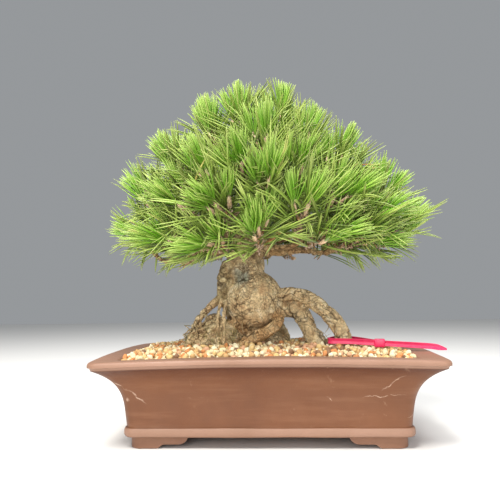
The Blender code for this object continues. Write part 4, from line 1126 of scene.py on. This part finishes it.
def tuft_axis(node, wood_spots):
    """A tuft's direction, and the tip of the twig that carries it."""
    low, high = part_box(node)
    middle = (low + high) / 2
    aim = ((middle - HEART).normalized() + Vector((0.0, 0.0, SHOOT_LIFT))).normalized()
    offsets = wood_spots - np.array(middle)
    rise = offsets @ np.array(aim)
    across = np.linalg.norm(offsets - rise[:, None] * np.array(aim), axis=1)
    near = (across < TWIG_NEAR) & (rise < 0.006) & (rise > -0.034)
    if near.any():
        tip = Vector(wood_spots[near][rise[near].argmax()])
    else:
        tip = middle - aim * 0.012
    return middle, aim, tip


def needle_spot(rng, root, aim, open_angle, azimuth, length, kind, tint, down):
    """One pair off the shoot's line, bending a way; shorter, or none, where it would leave the crown."""
    side = aim.orthogonal().normalized()
    side.rotate(Quaternion(aim, azimuth))
    lean = (aim * math.cos(open_angle) + side * math.sin(open_angle)).normalized()
    across = down - lean * down.dot(lean)
    if across.length < 0.05:
        across = lean.orthogonal()
    across.normalize()
    bend = NEEDLE_BENDS[kind]
    slack = min(rng.gauss(0.985, 0.040), 1.035)
    for share in (1.0, 0.92, 0.84, 0.76, 0.68, 0.60):
        reach = length * share
        tip = root + lean * (reach * math.sin(bend) / bend) + across * (reach * (1 - math.cos(bend)) / bend)
        if in_crown(tip, slack):
            turn = Matrix((across, lean.cross(across), lean)).transposed()
            thick = rng.uniform(0.88, 1.12)
            return root, turn, (thick, thick, reach / NEEDLE_LENGTH), kind, tint
    return None


def shoot_needles(rng, tip, aim, young, old, vigour):
    """The needles of one shoot: a brush of upright young pairs above longer, older, more open ones."""
    spots = []
    candle = 0.013 * vigour
    gravity = Vector((0.0, 0.0, -1.0))
    for i in range(young):
        share = (i + rng.random()) / young
        root = tip + aim * (candle * (0.45 + 0.55 * share))
        angle = math.radians(30 - 22 * share + rng.gauss(0, 4.5))
        length = rng.uniform(*YOUNG_LENGTH) * vigour
        spots.append(needle_spot(
            rng, root, aim, abs(angle), GOLDEN_TURN * i + rng.gauss(0, 0.3), length, rng.choice((0, 1, 1, 2)),
            rng.uniform(0.66, 0.84), aim,
        ))
    for i in range(old):
        share = (i + rng.random()) / old
        root = tip - aim * (0.026 * share)
        angle = math.radians(30 + 50 * share + rng.gauss(0, 14))
        length = rng.uniform(*OLD_LENGTH) * (1.0 - 0.12 * share)
        way = gravity if rng.random() < 0.55 else (aim if rng.random() < 0.6 else -aim)
        tint = rng.choice((rng.uniform(0.0, 0.35), rng.uniform(0.25, 0.60), rng.uniform(0.40, 0.62)))
        if rng.random() < 0.04:
            tint = rng.uniform(0.88, 0.94)
        if rng.random() < 0.010:
            tint = 1.0
        spots.append(needle_spot(
            rng, root, aim, abs(angle), GOLDEN_TURN * i + rng.gauss(0, 0.4), length,
            rng.choice((0, 1, 1, 2, 2, 3, 3, 4)), tint, way,
        ))
    return [spot for spot in spots if spot]


def side_shoots(rng, tip, aim, count):
    """Short side twigs near a shoot's tip: their starts, tips and directions."""
    found = []
    for i in range(count):
        side = aim.orthogonal().normalized()
        side.rotate(Quaternion(aim, 2.1 * i + rng.uniform(0, 1.2)))
        start = tip - aim * rng.uniform(0.010, 0.020)
        way = (aim * 0.8 + side * rng.uniform(0.6, 0.9) + Vector((0, 0, 0.25))).normalized()
        end = start + way * rng.uniform(0.011, 0.017)
        found.append((start, end, (way + aim * 0.6 + Vector((0, 0, 0.4))).normalized()))
    return found


# Tufts with a strong brush of young needles, as seen from the front: number, young pairs.
STRONG = {
    1: 34, 2: 38, 3: 40, 4: 36, 5: 28, 9: 34, 10: 24, 11: 30, 14: 32, 16: 22,
    21: 20, 24: 18, 26: 30, 36: 18, 39: 20,
}
# A candle from its base to its bud: place along it, radius, and how fresh its bark is.
CANDLE = (
    (0.0, 0.0020, 0.2), (0.15, 0.0023, 0.5), (0.35, 0.0021, 0.8), (0.55, 0.0022, 0.9), (0.75, 0.0017, 1.0),
    (0.92, 0.0012, 1.0), (1.0, 0.0004, 1.0),
)


def make_needles():
    """Every tuft's needles, and the candles and side twigs that carry them."""
    rng = random.Random(7)
    pairs = [needle_pair(f"pair_{i}", bend) for i, bend in enumerate(NEEDLE_BENDS)]
    holder = hold_shapes("needle_pairs", pairs)
    skin = needle_skin()
    tree = scatter_tree("needle_scatter")
    wood_spots = np.array([spot.co for node in WOOD_NODES[1:] for spot in frame["nodes"][node].data.vertices])
    carriers = bmesh.new()
    fresh = carriers.verts.layers.float.new("fresh")
    young, *old = SHOOT_PAIRS
    side_young, *side_old = SIDE_SHOOT_PAIRS
    tufts = sorted(name for name in frame["nodes"] if name.startswith("needle_tuft_"))
    for number, node in enumerate(tufts, start=1):
        middle, aim, tip = tuft_axis(node, wood_spots)
        if number in STRONG:
            aim = (aim + Vector((0.0, 0.0, 0.55))).normalized()
        vigour = rng.uniform(0.92, 1.06)
        low = middle.z < LOW_TUFT
        spots = shoot_needles(rng, tip, aim, STRONG.get(number, young), old[low], vigour)
        add_candle(carriers, fresh, tip - aim * 0.004, aim, CANDLE_LENGTH * vigour)
        for start, end, way in side_shoots(rng, tip, aim, 2):
            bend = start.lerp(end, 0.5) + Vector((0, 0, 0.001))
            twig = [(*start, 0.0016), (*bend, 0.0015), (*end, 0.0013)]
            add_tube(carriers, smooth_points(twig, 3), 6, fresh, [0.0] * 7)
            add_candle(carriers, fresh, end - way * 0.002, way, SIDE_CANDLE_LENGTH)
            spots += shoot_needles(rng, end, way, side_young, side_old[low], vigour * 0.88)
        piece = scatter(node.replace("needle_tuft", "pine_needles"), tree, holder, skin, spots)
        finish_piece(piece, "pine_needles", node)
    drop_shapes(holder)
    finish_piece(smooth_object("candles_and_side_twigs", carriers, shoot_bark()), "pine_wood")


def add_candle(shape, fresh, start, aim, length):
    """A scaly candle that swells a little and ends in a blunt bud."""
    points = [(*(start + aim * length * share), radius) for share, radius, _ in CANDLE]
    add_tube(shape, points, 8, fresh, [mark for _, _, mark in CANDLE])


# ---------------------------------------------------------------- gravel
PEBBLE_FLATNESS = (0.72, 0.85, 0.62, 0.78, 0.68, 0.9)
# Layers of loose grains: spacing, lift off the bed, smallest and largest grain.
GRAIN_LAYERS = ((0.0034, 0.0004, 0.0042, 0.0068), (0.0060, 0.0024, 0.0045, 0.0078))
BED_LOW = 0.074  # nothing is scattered on the bed's faces below this
BED_LEVEL = 0.35  # or on faces whose normal rises less than this


def pebble(name, seed, flat):
    """A rounded grain, about one unit across, with a few rubbed-flat facets."""
    shape = bmesh.new()
    bmesh.ops.create_icosphere(shape, subdivisions=2, radius=1.0)
    shift = Vector((seed * 3.7, seed * 1.3, seed * 5.1))
    for spot in shape.verts:
        swell = 1.0 + 0.34 * noise.noise(spot.co * 0.9 + shift) + 0.12 * noise.noise(spot.co * 2.4 + shift)
        spot.co = Vector((spot.co.x, spot.co.y * (0.74 + 0.05 * seed), spot.co.z * flat)) * swell * 0.56
    rng = random.Random(100 + seed)
    for _ in range(7):
        face = stray(rng, 1).normalized()
        reach = rng.uniform(0.30, 0.38)
        for spot in shape.verts:
            spot.co -= face * max(0.0, spot.co.dot(face) - reach)
    return smooth_object(name, shape)


def surface_places(node, rng, spacing):
    """Places on a node's upward faces, no two nearer than the spacing."""
    shape = bmesh.new()
    shape.from_mesh(frame["nodes"][node].data)
    bmesh.ops.triangulate(shape, faces=shape.faces[:])
    shape.normal_update()
    faces = [
        face for face in shape.faces if face.normal.z > BED_LEVEL and face.calc_center_median().z > BED_LOW
    ]
    areas = np.cumsum([face.calc_area() for face in faces])
    tries = int(areas[-1] / spacing ** 2 * 9)
    cells, found = {}, []
    for _ in range(tries):
        face = faces[min(int(np.searchsorted(areas, rng.random() * areas[-1])), len(faces) - 1)]
        a, b, c = (spot.co for spot in face.verts)
        u, v = rng.random(), rng.random()
        if u + v > 1:
            u, v = 1 - u, 1 - v
        place = a + (b - a) * u + (c - a) * v
        key = (int(place.x // spacing), int(place.y // spacing))
        crowd = [p for i in (-1, 0, 1) for j in (-1, 0, 1) for p in cells.get((key[0] + i, key[1] + j), ())]
        if all((place - other).length > spacing for other in crowd):
            cells.setdefault(key, []).append(place)
            found.append(place)
    shape.free()
    return found


def make_gravel():
    rng = random.Random(11)
    stones = [pebble(f"pebble_{i}", i, flat) for i, flat in enumerate(PEBBLE_FLATNESS)]
    holder = hold_shapes("pebbles", stones)
    stone = gravel_stone()
    tree = scatter_tree("gravel_scatter")
    halves = {"gravel_front": [], "gravel_back": []}
    for spacing, lift, smallest, largest in GRAIN_LAYERS:
        for place in surface_places("top_dressing", rng, spacing):
            size = rng.uniform(smallest, largest)
            if rng.random() < 0.12:
                size *= 0.7
            turn = Euler([rng.uniform(0, 6.28) for _ in range(3)]).to_matrix()
            spot = place + Vector((0.0, 0.0, lift + rng.uniform(-0.0008, 0.0009)))
            key = "gravel_front" if place.y < -0.012 else "gravel_back"
            kind = rng.randrange(len(PEBBLE_FLATNESS))
            halves[key].append((spot, turn, (size, size, size), kind, rng.random()))
    for name, spots in halves.items():
        piece = scatter(name, tree, holder, stone, spots)
        finish_piece(piece, "gravel")
    drop_shapes(holder)


# ---------------------------------------------------------------- fine roots
ROOT_STEP = 0.002
ROOT_LOW = 0.080
# Fibrous mats: middle, half size, number of roots.
MATS = (
    ((-0.054, -0.015, 0.084), (0.032, 0.016, 0.026), 420),
    ((-0.072, -0.017, 0.086), (0.013, 0.012, 0.021), 110),
    ((0.052, -0.012, 0.086), (0.015, 0.010, 0.008), 50),
    ((-0.002, -0.010, 0.086), (0.024, 0.014, 0.008), 60),
)
# Dry hanging rootlets: start, direction, length, radius, number.
HANGING = (
    ((0.019, -0.010, 0.104), (0.1, -0.2, -1.0), 0.018, 0.0006, 2),
    ((-0.060, -0.016, 0.112), (0.2, -0.3, -1.0), 0.022, 0.0005, 5),
    ((-0.034, -0.026, 0.106), (-0.2, -0.2, -1.0), 0.018, 0.0006, 4),
    ((0.058, -0.010, 0.104), (-0.1, -0.2, -1.0), 0.014, 0.0005, 2),
)


def wander(rng, start, way, length, waver, pull):
    """A thin root's wandering line, drawn down by a pull."""
    points = [Vector(start)]
    way = Vector(way).normalized()
    for _ in range(int(length / ROOT_STEP)):
        way = (way + stray(rng, waver) + Vector((0, 0, -pull))).normalized()
        points.append(points[-1] + way * ROOT_STEP)
    return points


def add_root(shape, line, thick, taper, sides):
    """Adds what of a line lies above the gravel, as a tube that thins by the taper."""
    line = [point for point in line if point.z > ROOT_LOW]
    if len(line) > 2:
        points = [(*point, thick * (1 - taper * i / len(line))) for i, point in enumerate(line)]
        add_tube(shape, points, sides)


def make_fine_roots(bark):
    """Fibrous mats at the left and under the right roots, and a few dry hanging rootlets."""
    rng = random.Random(23)
    shape = bmesh.new()
    marks = {key: shape.verts.layers.float.new(key) for key in BARK_MARKS}
    for middle, half, count in MATS:
        for _ in range(count):
            aim = stray(rng, 1).normalized()
            aim.z = abs(aim.z) * 0.9
            start = Vector(middle) + Vector(a * b for a, b in zip(aim, half))
            way = Vector((rng.gauss(0, 1), rng.gauss(0, 0.7), rng.gauss(-0.4, 0.5)))
            line = wander(rng, start, way, rng.uniform(0.006, 0.014), 0.40, 0.10)
            add_root(shape, line, rng.choice((0.00025, 0.00035, 0.00045, 0.0007)), 0.5, 4)
    for start, way, length, thick, count in HANGING:
        for _ in range(count):
            shift = stray(rng, 0.005)
            line = wander(rng, Vector(start) + shift, way, length * rng.uniform(0.6, 1.1), 0.25, 0.15)
            add_root(shape, line, thick, 0.6, 5)
    for spot in shape.verts:
        patch = noise.noise(spot.co * 90.0)
        spot[marks["orange"]] = 0.25 + 0.3 * patch
        spot[marks["old_bark"]] = 0.45 if patch > 0.1 else 0.1
        mossy = spot.co.x < 0 and noise.noise(spot.co * 140.0 + Vector((5, 5, 5))) > 0.30
        spot[marks["moss"]] = 0.6 if mossy else 0.0
        spot[marks["crack_and_shade"]] = 0.25 if patch < -0.2 else 0.0
    finish_piece(smooth_object("fine_roots", shape, bark), "pine_wood")


# ---------------------------------------------------------------- label
LABEL_ROUTE = (
    (0.1670, -0.0550, 0.0822), (0.1560, -0.0535, 0.0846), (0.1400, -0.0510, 0.0858),
    (0.1220, -0.0480, 0.0868), (0.1080, -0.0455, 0.0876), (0.0960, -0.0420, 0.0882),
    (0.0820, -0.0375, 0.0888), (0.0700, -0.0350, 0.0890), (0.0630, -0.0335, 0.0890),
    (0.0605, -0.0305, 0.0892), (0.0620, -0.0250, 0.0894), (0.0665, -0.0165, 0.0897),
    (0.0740, -0.0108, 0.0898), (0.0840, -0.0112, 0.0896), (0.0920, -0.0190, 0.0890),
    (0.0990, -0.0300, 0.0883), (0.1050, -0.0405, 0.0878),
)
LABEL_HEIGHT = 0.0054
LABEL_THICKNESS = 0.0010
LABEL_BEAD = 0.00035
LOCK_AT, LOCK_SIZE, LOCK_ROUND = (0.1075, -0.0445, 0.0876), (0.010, 0.0062, 0.0080), 0.0012
LOCK_TURN = math.radians(-14)


def make_label():
    """The moulded strip: a thin band with a raised edge, its lock and its pointed tail."""
    line = smooth_points(LABEL_ROUTE, 8)
    shape = bmesh.new()
    rows = []
    thin = LABEL_THICKNESS / 2
    bead = thin + LABEL_BEAD
    for i, point in enumerate(line):
        here = Vector(point)
        ahead = Vector(line[min(i + 1, len(line) - 1)]) - Vector(line[max(i - 1, 0)])
        side = Vector((-ahead.y, ahead.x, 0.0)).normalized()
        high = LABEL_HEIGHT / 2 * min(1.0, 0.30 + 0.70 * i / 6)
        half = ((thin * 0.6, high), (bead, 0.93 * high), (bead, 0.66 * high), (thin, 0.50 * high))
        outline = list(half) + [(out, -up) for out, up in reversed(half)]
        outline += [(-out, up) for out, up in reversed(outline)]
        rows.append([shape.verts.new(here + side * out + Vector((0, 0, up))) for out, up in outline])
    join_rings(shape, rows)
    shape.faces.new(rows[0])
    shape.faces.new(rows[-1])
    lock = bmesh.ops.create_cube(shape, size=1.0)["verts"]
    turn = Matrix.Rotation(LOCK_TURN, 4, "Z")
    place = Matrix.Translation(LOCK_AT) @ turn @ Matrix.Diagonal((*LOCK_SIZE, 1.0))
    bmesh.ops.transform(shape, matrix=place, verts=lock)
    edges = list({edge for spot in lock for edge in spot.link_edges})
    bmesh.ops.bevel(shape, geom=edges, offset=LOCK_ROUND, segments=3, profile=0.5, affect="EDGES")
    label = smooth_object("loop_label", shape, label_plastic())
    label.data.set_sharp_from_angle(angle=math.radians(40))
    finish_piece(label, "label_plastic", "plant_label")


# ---------------------------------------------------------------- the carried-over CAD nodes
def finish_cad_nodes():
    finishes = {
        "top_dressing": grit_bed(), "soil": damp_soil(),
        "drain_mesh_left": mesh_plastic(), "mesh_clip_left": clip_metal(),
    }
    finishes["drain_mesh_right"] = finishes["drain_mesh_left"]
    finishes["mesh_clip_right"] = finishes["mesh_clip_left"]
    for node, finish in finishes.items():
        slots = frame["nodes"][node].data.materials
        slots.clear()
        slots.append(finish)


def main():
    make_camera()
    make_studio()
    finish_cad_nodes()
    make_pot()
    wood = make_wood()
    make_needles()
    make_gravel()
    make_fine_roots(wood.data.materials[0])
    make_label()


main()
